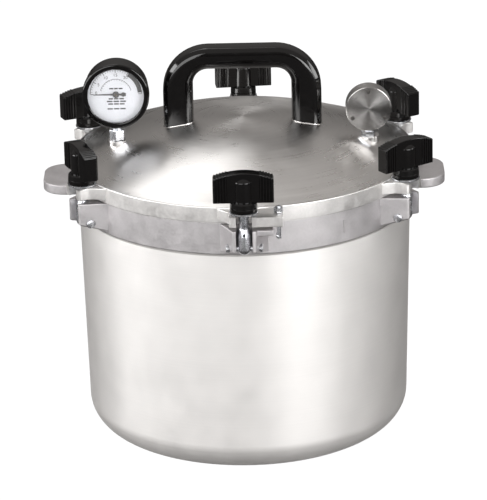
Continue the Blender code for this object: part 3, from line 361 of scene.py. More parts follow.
def linear(hex_colour: str) -> tuple[float, float, float, float]:
    """Turns an sRGB hex colour into linear light.

    Args:
        hex_colour: six hex digits.

    Returns:
        Red, green, blue and a full alpha.
    """
    parts = [int(hex_colour[i:i + 2], 16) / 255 for i in (0, 2, 4)]
    red, green, blue = (p / 12.92 if p <= 0.04045 else ((p + 0.055) / 1.055) ** 2.4 for p in parts)
    return red, green, blue, 1.0


def add(
    tree: bpy.types.NodeTree, kind: str, inputs: dict[str | int, object] | None = None, **settings: object
) -> bpy.types.Node:
    """Adds a node with its settings, and links or sets its inputs.

    Args:
        tree: the node tree.
        kind: the node's type name, without its ShaderNode prefix.
        inputs: by socket name or number, a value or the socket that feeds it.
        settings: the node's own properties.

    Returns:
        The node.
    """
    made = tree.nodes.new("ShaderNode" + kind)
    for name, value in settings.items():
        setattr(made, name, value)
    for name, value in (inputs or {}).items():
        if isinstance(value, bpy.types.NodeSocket):
            tree.links.new(value, made.inputs[name])
        else:
            made.inputs[name].default_value = value
    return made


@dataclass(frozen=True)
class Finish:
    """A material with a pattern of its own: what every finish has."""

    name: str
    slot: str
    colour: str
    roughness: float
    metallic: float = 0.0

    def material(self) -> bpy.types.Material:
        """Makes the material the first time, and gives the same one after that.

        Returns:
            The material.
        """
        known = bpy.data.materials.get(self.name)
        if known:
            return known
        made = bpy.data.materials.new(self.name)
        made.use_nodes = True
        tree = made.node_tree
        shader = tree.nodes["Principled BSDF"]
        shader.inputs["Base Color"].default_value = linear(self.colour)
        shader.inputs["Roughness"].default_value = self.roughness
        shader.inputs["Metallic"].default_value = self.metallic
        self.pattern(tree, shader)
        return made

    def pattern(self, tree: bpy.types.NodeTree, shader: bpy.types.Node) -> None:
        """Adds what is special to the finish.

        Args:
            tree: the material's nodes.
            shader: its Principled shader.
        """
        raise NotImplementedError

    def grain(self, tree: bpy.types.NodeTree, size: float) -> bpy.types.NodeSocket:
        """Noise with grains of a real size.

        Args:
            tree: the material's nodes.
            size: a grain's width.

        Returns:
            The noise, from 0 to 1.
        """
        place = add(tree, "TexCoord").outputs["Object"]
        fine = add(tree, "VectorMath", {0: place, 1: [1 / size] * 3}, operation="MULTIPLY").outputs[0]
        return add(tree, "TexNoise", {"Vector": fine, "Scale": 1.0, "Detail": 3.0}).outputs[0]

    def vary(
        self, tree: bpy.types.NodeTree, shader: bpy.types.Node, grain: bpy.types.NodeSocket,
        rough: float, tone: float,
    ) -> None:
        """Lets a pattern change the roughness and the colour a little.

        Args:
            tree: the material's nodes.
            shader: its Principled shader.
            grain: the pattern, from 0 to 1.
            rough: how far the roughness moves each way.
            tone: how much darker the colour gets where the pattern is low.
        """
        used = {"Value": grain, "From Min": NOISE_LOW, "From Max": NOISE_HIGH}
        spread = used | {"To Min": self.roughness - rough, "To Max": self.roughness + rough}
        tree.links.new(add(tree, "MapRange", spread).outputs[0], shader.inputs["Roughness"])
        full = linear(self.colour)
        dark = [c * (1 - tone) for c in full[:3]] + [1.0]
        weight = add(tree, "MapRange", used).outputs[0]
        mix = add(tree, "Mix", {"Factor": weight, "A": dark, "B": full}, data_type="RGBA")
        tree.links.new(mix.outputs["Result"], shader.inputs["Base Color"])

    def relief(
        self, tree: bpy.types.NodeTree, shader: bpy.types.Node, grain: bpy.types.NodeSocket,
        depth: float, strength: float,
    ) -> None:
        """Lets a pattern stand out of the surface.

        Args:
            tree: the material's nodes.
            shader: its Principled shader.
            grain: the pattern, from 0 to 1.
            depth: how deep it is.
            strength: how much of that depth the light sees.
        """
        bump = add(tree, "Bump", {"Height": grain, "Distance": depth, "Strength": strength})
        tree.links.new(bump.outputs[0], shader.inputs["Normal"])


@dataclass(frozen=True)
class Turned(Finish):
    """Metal cut or brushed on a lathe: fine rings, and highlights that spread across them."""

    metallic: float = 1.0
    pitch: float = 1.2 * MM        # between rings
    streak: float = 0.0            # how many streaks there are to a radian; none are whole rings
    depth: float = 0.02 * MM
    anisotropy: float = 0.6
    tone: float = 0.10
    rough_spread: float = 0.05
    axis: Point = (0.0, 0.0, 1.0)
    centre: Point = (0.0, 0.0, 0.0)
    cloud: float = 25 * MM         # slow changes of tone over the rings

    def pattern(self, tree: bpy.types.NodeTree, shader: bpy.types.Node) -> None:
        """Rings about the lathe's axis, and a tangent that runs along them.

        Args:
            tree: the material's nodes.
            shader: its Principled shader.
        """
        place = add(tree, "TexCoord").outputs["Object"]
        out = add(tree, "VectorMath", {0: place, 1: self.centre}, operation="SUBTRACT").outputs[0]
        along = add(tree, "VectorMath", {0: out, 1: self.axis}, operation="DOT_PRODUCT").outputs["Value"]
        shaft = add(tree, "VectorMath", {0: self.axis, "Scale": along}, operation="SCALE").outputs[0]
        arm = add(tree, "VectorMath", {0: out, 1: shaft}, operation="SUBTRACT").outputs[0]
        radius = add(tree, "VectorMath", {0: arm}, operation="LENGTH").outputs["Value"]
        heading = add(tree, "VectorMath", {0: arm}, operation="NORMALIZE").outputs[0]
        rise = add(tree, "Math", {0: radius, 1: along}, operation="SUBTRACT").outputs[0]
        rings = add(tree, "Math", {0: rise, 1: 1 / self.pitch}, operation="MULTIPLY").outputs[0]
        sweep = add(tree, "VectorMath", {0: heading, "Scale": self.streak}, operation="SCALE").outputs[0]
        lift = add(tree, "VectorMath", {0: self.axis, "Scale": rings}, operation="SCALE").outputs[0]
        ring_place = add(tree, "VectorMath", {0: sweep, 1: lift}, operation="ADD").outputs[0]
        lines = add(tree, "TexNoise", {"Vector": ring_place, "Scale": 1.0, "Detail": 2.0}).outputs[0]
        cloud = self.grain(tree, self.cloud)
        both = add(tree, "Math", {0: lines, 1: cloud}, operation="ADD").outputs[0]
        mean = add(tree, "Math", {0: both, 1: 0.5}, operation="MULTIPLY").outputs[0]
        self.vary(tree, shader, mean, self.rough_spread, self.tone)
        if self.depth:
            self.relief(tree, shader, lines, self.depth, 1.0)
        tangent = add(tree, "VectorMath", {0: self.axis, 1: out}, operation="CROSS_PRODUCT").outputs[0]
        level = add(tree, "VectorMath", {0: tangent}, operation="NORMALIZE").outputs[0]
        tree.links.new(level, shader.inputs["Tangent"])
        shader.inputs["Anisotropic"].default_value = self.anisotropy
        shader.inputs["Anisotropic Rotation"].default_value = 0.25


@dataclass(frozen=True)
class Cast(Finish):
    """Metal as it left the sand mould, fettled and tumbled: a soft, slightly pitted grain."""

    metallic: float = 1.0
    grain_size: float = 2.2 * MM
    depth: float = 0.10 * MM
    cloud: float = 14 * MM         # slow changes of tone over the grain
    tone: float = 0.16
    rough_spread: float = 0.08
    strength: float = 0.8

    def pattern(self, tree: bpy.types.NodeTree, shader: bpy.types.Node) -> None:
        """Grain with relief, over tone that changes slowly.

        Args:
            tree: the material's nodes.
            shader: its Principled shader.
        """
        fine = self.grain(tree, self.grain_size)
        slow = self.grain(tree, self.cloud)
        both = add(tree, "Math", {0: fine, 1: slow}, operation="ADD").outputs[0]
        mean = add(tree, "Math", {0: both, 1: 0.5}, operation="MULTIPLY").outputs[0]
        self.vary(tree, shader, mean, self.rough_spread, self.tone)
        self.relief(tree, shader, fine, self.depth, self.strength)


@dataclass(frozen=True)
class Moulded(Finish):
    """A hard moulding that took the polish of its mould: mirror gloss with the faintest waviness."""

    wave: float = 6 * MM
    depth: float = 0.03 * MM
    tone: float = 0.25
    rough_spread: float = 0.04
    strength: float = 0.5

    def pattern(self, tree: bpy.types.NodeTree, shader: bpy.types.Node) -> None:
        """A slow wave in the gloss.

        Args:
            tree: the material's nodes.
            shader: its Principled shader.
        """
        grain = self.grain(tree, self.wave)
        self.vary(tree, shader, grain, self.rough_spread, self.tone)
        self.relief(tree, shader, grain, self.depth, self.strength)


@dataclass(frozen=True)
class Glass(Finish):
    """A flat pressed window: almost all light passes, with a soft gloss on its face."""

    film: float = 0.05             # the share of light that the glass itself gives back
    wave: float = 12 * MM
    rough_spread: float = 0.03

    def pattern(self, tree: bpy.types.NodeTree, shader: bpy.types.Node) -> None:
        """Lets light through, and keeps the gloss uneven by a trace.

        Args:
            tree: the material's nodes.
            shader: its Principled shader.
        """
        shader.inputs["Alpha"].default_value = self.film
        wave = self.grain(tree, self.wave)
        spread = {"Value": wave, "To Min": self.roughness, "To Max": self.roughness + self.rough_spread}
        tree.links.new(add(tree, "MapRange", spread).outputs[0], shader.inputs["Roughness"])


# Cast aluminium, turned on a lathe outside: pale satin with faint level rings. The rings of a real
# cut are about 0.2 mm apart, and are drawn coarser so that they show.
SATIN = Turned("turned satin aluminium", "satin_aluminium", "f4f2f0", 0.58, pitch=1.6 * MM, depth=0.006 * MM,
               anisotropy=0.30, tone=0.05, rough_spread=0.04)
# The same casting where no tool touched it: cooler, greyer and pitted by the sand.
CAST = Cast("cast aluminium", "satin_aluminium", "cfcccd", 0.52, depth=0.09 * MM)
# The cover's dome, turned and brushed round and round: streaks along the circles, fans of light across.
# The streaks of a real brush are finer than 0.3 mm, and are drawn coarser so that they show.
BRUSHED = Turned("brushed cast aluminium", "polished_aluminium", "e3e1df", 0.30, pitch=3.4 * MM, streak=1.2,
                 depth=0.0, anisotropy=0.80, tone=0.09, rough_spread=0.05)
# The cover's flange and lugs, faced with a cutter: bright and even.
FACED = Cast("faced aluminium", "polished_aluminium", "efedeb", 0.46, grain_size=2.4 * MM, depth=0.015 * MM)
# Phenolic, compression moulded: black, hard and glossy.
PHENOLIC = Moulded("moulded black phenolic", "black_phenolic", "080707", 0.09)
# Steel under bright zinc plate: cool and clean, with a fine grain from rolling and threading.
ZINC = Cast("zinc plated steel", "zinc_steel", "dcdee2", 0.27, grain_size=0.9 * MM, depth=0.006 * MM)
# Cartridge brass, plain and slightly tarnished.
BRASS = Cast("plain brass", "brass", "c9a765", 0.28, grain_size=1.5 * MM, depth=0.01 * MM)
# Nitrile rubber, moulded: matt, with a trace of bloom.
RUBBER = Moulded("moulded black rubber", "black_rubber", "1a1a1a", 0.62)
# Dial paint, silver white, rolled on: matt with a very fine sparkle.
DIAL_PAINT = Cast("silver white dial paint", "dial_white", "e6e8ee", 0.42, metallic=0.15, grain_size=0.8 * MM,
                  depth=0.004 * MM)
# Printing ink and the needle's enamel: flat black.
INK = Moulded("black printing ink", "needle_black", "060607", 0.60)
GLASS = Glass("pressed gauge glass", "clear_glass", "ffffff", 0.03)


def finished(
    piece: bpy.types.Object, name: str, finish: Finish, body: str, stands_for: Sequence[str] = (),
    smooth: float = SMOOTH,
) -> bpy.types.Object:
    """Shades, dresses and names a piece, and lets it ride on its body.

    Args:
        piece: the modelled object.
        name: its final name.
        finish: what it is made of.
        body: the body that it moves with.
        stands_for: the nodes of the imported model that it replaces.
        smooth: edges flatter than this many degrees are shaded round.

    Returns:
        The same object.
    """
    only(piece)
    bpy.ops.object.transform_apply(location=True, rotation=True, scale=True)
    bpy.ops.object.shade_smooth_by_angle(angle=math.radians(smooth))
    modifier = piece.modifiers.new("flat faces stay flat", "WEIGHTED_NORMAL")
    modifier.keep_sharp = True
    bpy.ops.object.modifier_apply(modifier=modifier.name)
    piece.name = name
    piece.data.name = name
    if not piece.data.materials:
        piece.data.materials.append(finish.material())
    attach(piece, body)
    if stands_for:
        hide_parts(*stands_for)
    LOG.info("%s: %d faces, %s", name, len(piece.data.polygons), finish.name)
    return piece


def two_finishes(
    piece: bpy.types.Object, first: Finish, second: Finish, is_second: Callable[[Vector], bool]
) -> None:
    """Gives some faces of a piece a second finish.

    Args:
        piece: the object.
        first: the finish of most of it.
        second: the finish of the rest.
        is_second: says yes to the middle of a face of the rest.
    """
    piece.data.materials.clear()
    piece.data.materials.append(first.material())
    piece.data.materials.append(second.material())
    for face in piece.data.polygons:
        face.material_index = int(is_second(face.center))


# ---- Clamps ---------------------------------------------------------------------------------------
@dataclass(frozen=True)
class Place:
    """Where one clamp stands, and how its wing nut came to rest."""

    name: str
    azimuth: float
    wing_turn: float

    @property
    def pin(self) -> Vector:
        """The middle of the hinge pin, on the bolt's axis."""
        return Vector(JOINTS[f"clamp_swing_{self.name}"]["pos_m"])

    @property
    def nut_level(self) -> float:
        """The level of the nut's foot."""
        return JOINTS[f"nut_turn_{self.name}"]["pos_m"][2]


PLACES = (
    Place("front", -90.0, 0.0),
    Place("front_right", -30.0, 36.0),
    Place("rear_right", 30.0, -58.0),
    Place("rear", 90.0, 6.0),
    Place("rear_left", 150.0, 23.0),
    Place("front_left", 210.0, -68.0),
)
BOLT_CIRCLE = PLACES[0].pin.xy.length
PIN_LEVEL = PLACES[0].pin.z
NUT_LEVEL = PLACES[0].nut_level
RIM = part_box("pot")[1].z
HANDLE_LEG = 28.7 * MM                  # how wide each leg of the top handle is
THROUGH = 3 * MM                        # how far a cutter reaches past what it cuts


def open_slot(half: float, tip: float) -> list[Point]:
    """A slot that is round about a bolt's axis, and open from there to a tip's radius and beyond."""
    end = tip + THROUGH
    return [(end, half)] + arc((BOLT_CIRCLE, 0), half, 90, 270, 14) + [(end, -half)]


@dataclass
class Clamps:
    """The six swing clamps. Each piece is modelled once, about the origin, and copied."""

    steps: int = 32
    thread_radius: float = 4.75 * MM
    thread_pitch: float = 25.4 / 16 * MM
    thread_depth: float = 0.75 * MM
    thread_below: float = 18.2 * MM      # under the nut's foot
    thread_above: float = 4 * MM         # hidden in the nut
    runout: float = 6.8 * MM
    shank_radius: float = 6.3 * MM
    cross_hole_radius: float = 1.5 * MM
    pin_radius: float = 3.0 * MM
    pin_seat: float = 14.8 * MM
    pin_head_radius: float = 4.0 * MM
    pin_head_height: float = 2.6 * MM
    washer_radius: float = 13.4 * MM
    washer_thickness: float = 1.7 * MM
    insert_radius: float = 7.2 * MM
    insert_length: float = 19 * MM
    collar_radius: float = 12.8 * MM
    collar_height: float = 9.5 * MM
    hub_radius: float = 9.6 * MM
    hub_shoulder: float = 28.5 * MM
    height: float = 38.5 * MM
    half_span: float = 28.1 * MM
    half_thickness: float = 6.3 * MM
    end_drop: float = 5.5 * MM
    rib_radius: float = 1.1 * MM
    rib_pitch: float = 2.65 * MM
    ribs: int = 5
    rib_sunk: float = 0.15 * MM          # how deep a rib stands in the wing
    bore_depth: float = 24 * MM
    clearance: float = 0.25 * MM         # round the bolt and round the pin
    bolt_top: float = 22 * MM            # over the nut's foot
    cutter_half: float = 10 * MM

    def build(self) -> None:
        """Models one of each piece, and puts copies at the six places."""
        # the copies' title, the model, its finish, its body (or None, the pot), its node, its level
        washer_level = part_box("clamp_washer_front")[0].z
        models = (
            ("swing_bolt", self.bolt(), ZINC, "bolt", "clamp_bolt", PIN_LEVEL),
            ("hinge_pin", self.pin(), ZINC, None, "clamp_pin", PIN_LEVEL),
            ("plain_washer", self.washer(), ZINC, "washer", "clamp_washer", washer_level),
            ("phenolic_wing_nut", self.wing_nut(), PHENOLIC, "nut", "wing_nut", NUT_LEVEL),
            ("threaded_insert", self.insert(), BRASS, "nut", "nut_insert", NUT_LEVEL + 0.3 * MM),
        )
        for title, model, finish, rides, node, level in models:
            for place in PLACES:
                turn = place.wing_turn if rides == "nut" else place.azimuth
                copy = duplicate(model, title)
                placed(copy, (place.pin.x, place.pin.y, level), turn)
                body = f"{rides}_{place.name}" if rides else "pot"
                finished(copy, f"{title}_{place.name}", finish, body, [f"{node}_{place.name}"])
            bpy.data.objects.remove(model)

    def bolt(self) -> bpy.types.Object:
        """A bolt about +Z with the pin's axis at the origin, a pivot hole along Y and a helical thread.

        Returns:
            The bolt.
        """
        thread_low = NUT_LEVEL - PIN_LEVEL - self.thread_below
        top = NUT_LEVEL - PIN_LEVEL + self.bolt_top
        core = self.thread_radius - self.thread_depth
        tip = 1.2 * MM
        profile = [(0, -self.shank_radius)] + arc((0, 0), self.shank_radius, -75, 0, 8)
        profile += [
            (self.shank_radius, thread_low - self.runout), (self.thread_radius, thread_low),
            (core, thread_low + tip), (core, top - tip), (core - tip, top), (0, top),
        ]
        bolt = turned("bolt", profile, self.steps)
        reach = self.cutter_half
        eye = rod("eye", self.pin_radius + self.clearance, -reach, reach, 24, lie=Lie.BACK)
        combined(bolt, eye, Solid.TAKE)
        cross = rod("cross hole", self.cross_hole_radius, -reach, reach, 16, lie=Lie.BACK)
        placed(cross, (0, 0, thread_low - self.runout + 2.2 * MM), 90)
        combined(bolt, cross, Solid.TAKE)
        ridge = self.thread(thread_low + tip / 2, thread_low + self.thread_below + self.thread_above)
        return gathered([bolt, ridge], "bolt")

    def thread(self, low: float, high: float) -> bpy.types.Object:
        """One ridge that climbs round the bolt, closed at both ends.

        Args:
            low: where it starts.
            high: where it ends.

        Returns:
            The ridge.
        """
        foot = self.thread_radius - self.thread_depth - 0.2 * MM
        half = 0.46 * self.thread_pitch
        flat = 0.06 * self.thread_pitch
        crest = self.thread_radius
        section = [(foot, low - half), (crest, low - flat), (crest, low + flat), (foot, low + half)]
        ridge = line("thread", [(r, 0, z) for r, z in section], closed=True)
        with edit(ridge):
            bpy.ops.mesh.edge_face_add()
        modifier = ridge.modifiers.new("helix", "SCREW")
        modifier.axis = "Z"
        modifier.screw_offset = self.thread_pitch
        modifier.iterations = int((high - low) / self.thread_pitch)
        modifier.steps = modifier.render_steps = 24
        modifier.use_merge_vertices = False
        bpy.ops.object.modifier_apply(modifier=modifier.name)
        with edit(ridge):
            bpy.ops.mesh.remove_doubles(threshold=WELD)
            bpy.ops.mesh.select_all(action="DESELECT")
            bpy.ops.mesh.select_non_manifold()
            bpy.ops.mesh.edge_face_add()
            bpy.ops.mesh.select_all(action="SELECT")
            bpy.ops.mesh.normals_make_consistent(inside=False)
        return ridge

    def pin(self) -> bpy.types.Object:
        """A pin along Y with a domed rivet head at each end.

        Returns:
            The pin.
        """
        seat, head = self.pin_seat, self.pin_head_radius
        end = seat + self.pin_head_height
        dome = [(head * math.cos(a), end - self.pin_head_height * 0.25 * (1 - math.sin(a)))
                for a in (math.radians(15 * i) for i in range(7))]
        half = [(self.pin_radius, seat), (head, seat)] + dome
        profile = [(r, -z) for r, z in reversed(half)] + half
        profile[0] = (0, profile[0][1])
        profile[-1] = (0, profile[-1][1])
        return turned("pin", profile, 24, lie=Lie.BACK)

    def washer(self) -> bpy.types.Object:
        """A stamped washer with eased outer edges.

        Returns:
            The washer.
        """
        inner, outer, high = self.thread_radius + self.clearance, self.washer_radius, self.washer_thickness
        ease = 0.35 * MM
        profile = [
            (inner, 0), (outer - ease, 0), (outer, ease), (outer, high - ease), (outer - ease, high),
            (inner, high),
        ]
        return turned("washer", profile, 48, closed=True)

    def insert(self) -> bpy.types.Object:
        """The threaded sleeve inside the nut.

        Returns:
            The sleeve.
        """
        inner, outer, high = self.thread_radius + self.clearance, self.insert_radius, self.insert_length
        ease = 0.4 * MM
        profile = [
            (inner + ease, 0), (outer - ease, 0), (outer, ease), (outer, high), (inner, high), (inner, ease),
        ]
        return turned("insert", profile, self.steps, closed=True)

    def crown(self, x: float) -> float:
        """How high the top of the wings is, x along them."""
        return self.height - 0.8 * MM - self.end_drop * (x / self.half_span) ** 2

    def wing_nut(self) -> bpy.types.Object:
        """Wings with a crowned top and ribbed ends, on a hub with a slanting shoulder and a collar.

        Returns:
            The nut.
        """
        low, span, half = self.collar_height - 0.5 * MM, self.half_span, self.half_thickness
        outline = [(-span, low), (span, low)]
        points = 24
        for i in range(points + 1):
            x = span * (1 - 2 * i / points)
            outline.append((x, self.crown(x)))
        wings = eased(prism("wings", outline, -half, half, lie=Lie.FRONT), 0.9 * MM, 3, 40)
        collar, groove = self.collar_radius, 0.35 * MM
        body = [
            (0, 0), (collar - 1.2 * MM, 0), (collar - 0.3 * MM, 0.4 * MM), (collar, 1.2 * MM),
            (collar, 3.4 * MM), (collar - groove, 3.8 * MM), (collar, 4.2 * MM),
            (collar - 0.3 * MM, self.collar_height - 1.2 * MM),
            (collar - 1.2 * MM, self.collar_height), (self.hub_radius, self.collar_height + 0.1 * MM),
            (self.hub_radius, self.hub_shoulder), (self.hub_radius - 0.5 * MM, self.hub_shoulder + 0.9 * MM),
            (half - 0.6 * MM, self.hub_shoulder + 4.5 * MM), (0, self.hub_shoulder + 5 * MM),
        ]
        nut = turned("nut", body, 40)
        combined(nut, wings, Solid.ADD)
        bore = rod("bore", self.insert_radius + 0.3 * MM, -MM, self.bore_depth, self.steps)
        return gathered([combined(nut, bore, Solid.TAKE)] + self.wing_ribs(), "nut")

    def wing_ribs(self) -> list[bpy.types.Object]:
        """The round ribs at the ends of the wings: up one face, over the top and down the other.

        Returns:
            Ribs and ridges, each a closed shell.
        """
        foot, radius = self.collar_height - 0.3 * MM, self.rib_radius
        reach, slant = self.half_thickness - self.rib_sunk, radius * 0.7
        ribs = []
        for side in (-1, 1):
            for i in range(self.ribs):
                x = side * (self.half_span - radius - 0.5 * MM - i * self.rib_pitch)
                top = self.crown(x) - 0.55 * MM
                for face in (-1, 1):
                    profile = [(0, foot), (radius, foot + radius / 2), (radius, top), (0, top)]
                    ribs.append(turned("rib", profile, 12, at=(x, face * reach, 0)))
                profile = mirrored([(0, -reach - radius), (slant, -reach - slant), (radius, -reach)])
                ribs.append(turned("ridge", profile, 12, at=(x, 0, top), lie=Lie.BACK))
        return ribs


# ---- Pot ------------------------------------------------------------------------------------------
@dataclass
class Pot:
    """The pot, its lugs, side grips and locating ledge, and the rack that stands in it."""

    steps: int = 144
    outer_radius: float = 160.5 * MM
    draft: float = 4.2 * MM
    wall: float = 5 * MM
    floor: float = 6 * MM
    corner: float = 29 * MM
    inner_corner: float = 19 * MM
    band_height: float = 31.1 * MM
    band_proud: float = 2.3 * MM
    seat_width: float = 4.5 * MM
    seat_depth: float = 6.5 * MM
    lug_tip: float = 9.0 * MM           # beyond the bolt's axis
    lug_tip_half: float = 11.7 * MM
    lug_root: float = 157.5 * MM
    lug_root_half: float = 25 * MM
    lug_slope: float = 0.31
    slot_half: float = 7.7 * MM
    pin_hole_radius: float = 3.3 * MM
    pocket_radius: float = 4.35 * MM     # where a pin's head sits
    pocket_start: float = 14.5 * MM      # from the clamp's middle
    ledge_root: float = 155 * MM
    ledge_length: float = 27 * MM
    ledge_thickness: float = 5.5 * MM
    grip_reach: float = 31 * MM
    grip_half_width: float = 33.5 * MM
    grip_corner: float = 22 * MM
    mark_azimuth: float = -55.0

    def build(self) -> None:
        """Models the pot and the rack."""
        band_low = RIM - self.band_height
        band = self.outer_radius + self.band_proud
        pot = turned("pot body", self.profile(), self.steps)
        for place in PLACES:
            combined(pot, self.lug(band_low, place.azimuth), Solid.ADD)
        for azimuth in (0.0, 180.0):
            combined(pot, self.side_grip(band, azimuth), Solid.ADD)
        combined(pot, self.ledge(), Solid.ADD)
        combined(pot, self.mark(band, band_low), Solid.ADD)
        slot = open_slot(self.slot_half, BOLT_CIRCLE + self.lug_tip)
        for place in PLACES:
            cut = prism("slot", slot, band_low - 5 * MM, RIM + 5 * MM, turn=place.azimuth)
            combined(pot, cut, Solid.TAKE)
            start, end, half = self.pocket_start, 40 * MM, self.pocket_start + 1.5 * MM
            for name, radius, low, high in (
                ("pocket", self.pocket_radius, -end, -start), ("pocket", self.pocket_radius, start, end),
                ("hole", self.pin_hole_radius, -half, half),
            ):
                cutter = rod(name, radius, low, high, 24, lie=Lie.BACK)
                combined(pot, placed(cutter, place.pin, place.azimuth), Solid.TAKE)
        edge, foot = band - 0.05 * MM - 2 * MM, band_low - 0.2 * MM
        two_finishes(pot, SATIN, CAST, lambda c: foot < c.z < RIM and c.xy.length > edge)
        finished(pot, "pot_body", SATIN, "pot", ["pot"])
        self.rack()

    def profile(self) -> list[Point]:
        """The pot's section, from the middle of its base round to the middle of its floor.

        Returns:
            (radius, height) points.
        """
        foot = self.outer_radius - self.draft
        band = self.outer_radius + self.band_proud
        inner = self.outer_radius - self.wall
        band_low = RIM - self.band_height
        ease = 0.8 * MM
        points = [(0, 0), (foot - self.corner - 3 * MM, 0)]
        points += arc((foot - self.corner, self.corner), self.corner, -90, 0, 14)
        points += [
            (self.outer_radius, band_low - self.band_proud - MM),
            (self.outer_radius + 0.5 * MM, band_low - self.band_proud + 0.4 * MM),
            (band - 0.5 * MM, band_low - 0.5 * MM), (band, band_low + ease),
            (band, RIM - ease), (band - 0.3 * ease, RIM - 0.3 * ease), (band - ease, RIM),
            (inner + self.seat_width + 0.3 * MM, RIM), (inner + self.seat_width, RIM - 0.3 * MM),
            (inner, RIM - self.seat_depth),
        ]
        centre = (inner - self.draft - self.inner_corner, self.floor + self.inner_corner)
        points += arc(centre, self.inner_corner, 0, -90, 10)
        points += [(0, self.floor)]
        return points

    def lug(self, band_low: float, azimuth: float) -> bpy.types.Object:
        """A tapered lug, thinner underneath towards its tip.

        Args:
            band_low: the level of the band's lower edge.
            azimuth: where it stands.

        Returns:
            The lug.
        """
        root, tip, corner = self.lug_root, BOLT_CIRCLE + self.lug_tip, 1.6 * MM
        half, wide = self.lug_tip_half, self.lug_root_half
        side = [(math.sqrt(root**2 - wide**2), -wide), (tip - corner, -half), (tip, corner - half)]
        lug = prism("lug", mirrored(side), band_low + 0.8 * MM, RIM - 0.6 * MM)
        with edit(lug):
            bpy.ops.mesh.select_all(action="DESELECT")
            shape = bmesh.from_edit_mesh(lug.data)
            for vertex in shape.verts:
                if vertex.co.z < band_low + MM and vertex.co.x > tip - 2 * corner:
                    vertex.select_set(True)
            bmesh.update_edit_mesh(lug.data)
            bpy.ops.transform.translate(value=(0, 0, self.lug_slope * (tip - root)))
        eased(lug, 1.0 * MM, 2, 40)
        return placed(lug, turn=azimuth)

    def side_grip(self, band: float, azimuth: float) -> bpy.types.Object:
        """A flat wing with round corners, to lift the pot by.

        Args:
            band: the rim band's radius.
            azimuth: the side it stands on.

        Returns:
            The grip.
        """
        low, high = RIM - 14.7 * MM, RIM - 5.1 * MM
        inner, reach = band - 4 * MM, band + self.grip_reach
        half, corner = self.grip_half_width, self.grip_corner
        outline = [(inner, -half)] + arc((reach - corner, -half + corner), corner, -90, 0, 14)
        outline += arc((reach - corner, half - corner), corner, 0, 90, 14) + [(inner, half)]
        grip = prism("grip", outline, low, high)
        eased(grip, 1.3 * MM, 3, 60)
        return placed(grip, turn=azimuth)

    def ledge(self) -> bpy.types.Object:
        """The shelf beside the front lug, under the cover's long ear.

        Returns:
            The shelf.
        """
        outer = BOLT_CIRCLE + self.lug_tip - 3 * MM
        near, top = self.slot_half + MM, RIM - 0.8 * MM
        outline = oblong(self.ledge_root, near, outer, self.ledge_length)
        ledge = prism("ledge", outline, top - self.ledge_thickness, top)
        eased(ledge, 0.7 * MM, 2, 40)
        return placed(ledge, turn=PLACES[0].azimuth)

    def mark(self, band: float, band_low: float) -> bpy.types.Object:
        """The raised bar on the band that the cover's mark is set over.

        Args:
            band: the band's radius.
            band_low: the level of the band's lower edge.

        Returns:
            The bar.
        """
        half, length = 0.8 * MM, 13 * MM
        bar = prism("mark", oblong(-half, 0, half, length), 0, 2 * MM, lie=Lie.FRONT)
        eased(bar, 0.3 * MM, 2, 40)
        x, y = around(self.mark_azimuth, band - 1.2 * MM)
        return placed(bar, (x, y, band_low + 9 * MM), self.mark_azimuth + 90)

    def rack(self) -> None:
        """The perforated plate that keeps the jars off the floor, on its skirt."""
        low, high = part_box("jar_rack")
        radius, thick, ease = high.x, 2 * MM, 0.4 * MM
        skirt = self.outer_radius - self.wall - self.draft - self.inner_corner - 2 * MM
        profile = [
            (0, high.z), (radius - ease, high.z), (radius, high.z - ease), (radius, high.z - thick + ease),
            (radius - ease, high.z - thick), (skirt, high.z - thick), (skirt, low.z), (skirt - thick, low.z),
            (skirt - thick, high.z - thick), (0, high.z - thick),
        ]
        rack = turned("rack", profile, 96)
        for circle, count, hole_radius in ((0.0, 1, 14 * MM), (55 * MM, 6, 13 * MM), (108 * MM, 12, 11 * MM)):
            for i in range(count):
                at = (*around(360 * (i + 0.5) / count, circle), 0)
                hole = rod("hole", hole_radius, high.z - 2 * thick, high.z + thick, 28, at=at)
                combined(rack, hole, Solid.TAKE)
        finished(rack, "perforated_jar_rack", SATIN, "rack", ["jar_rack"])


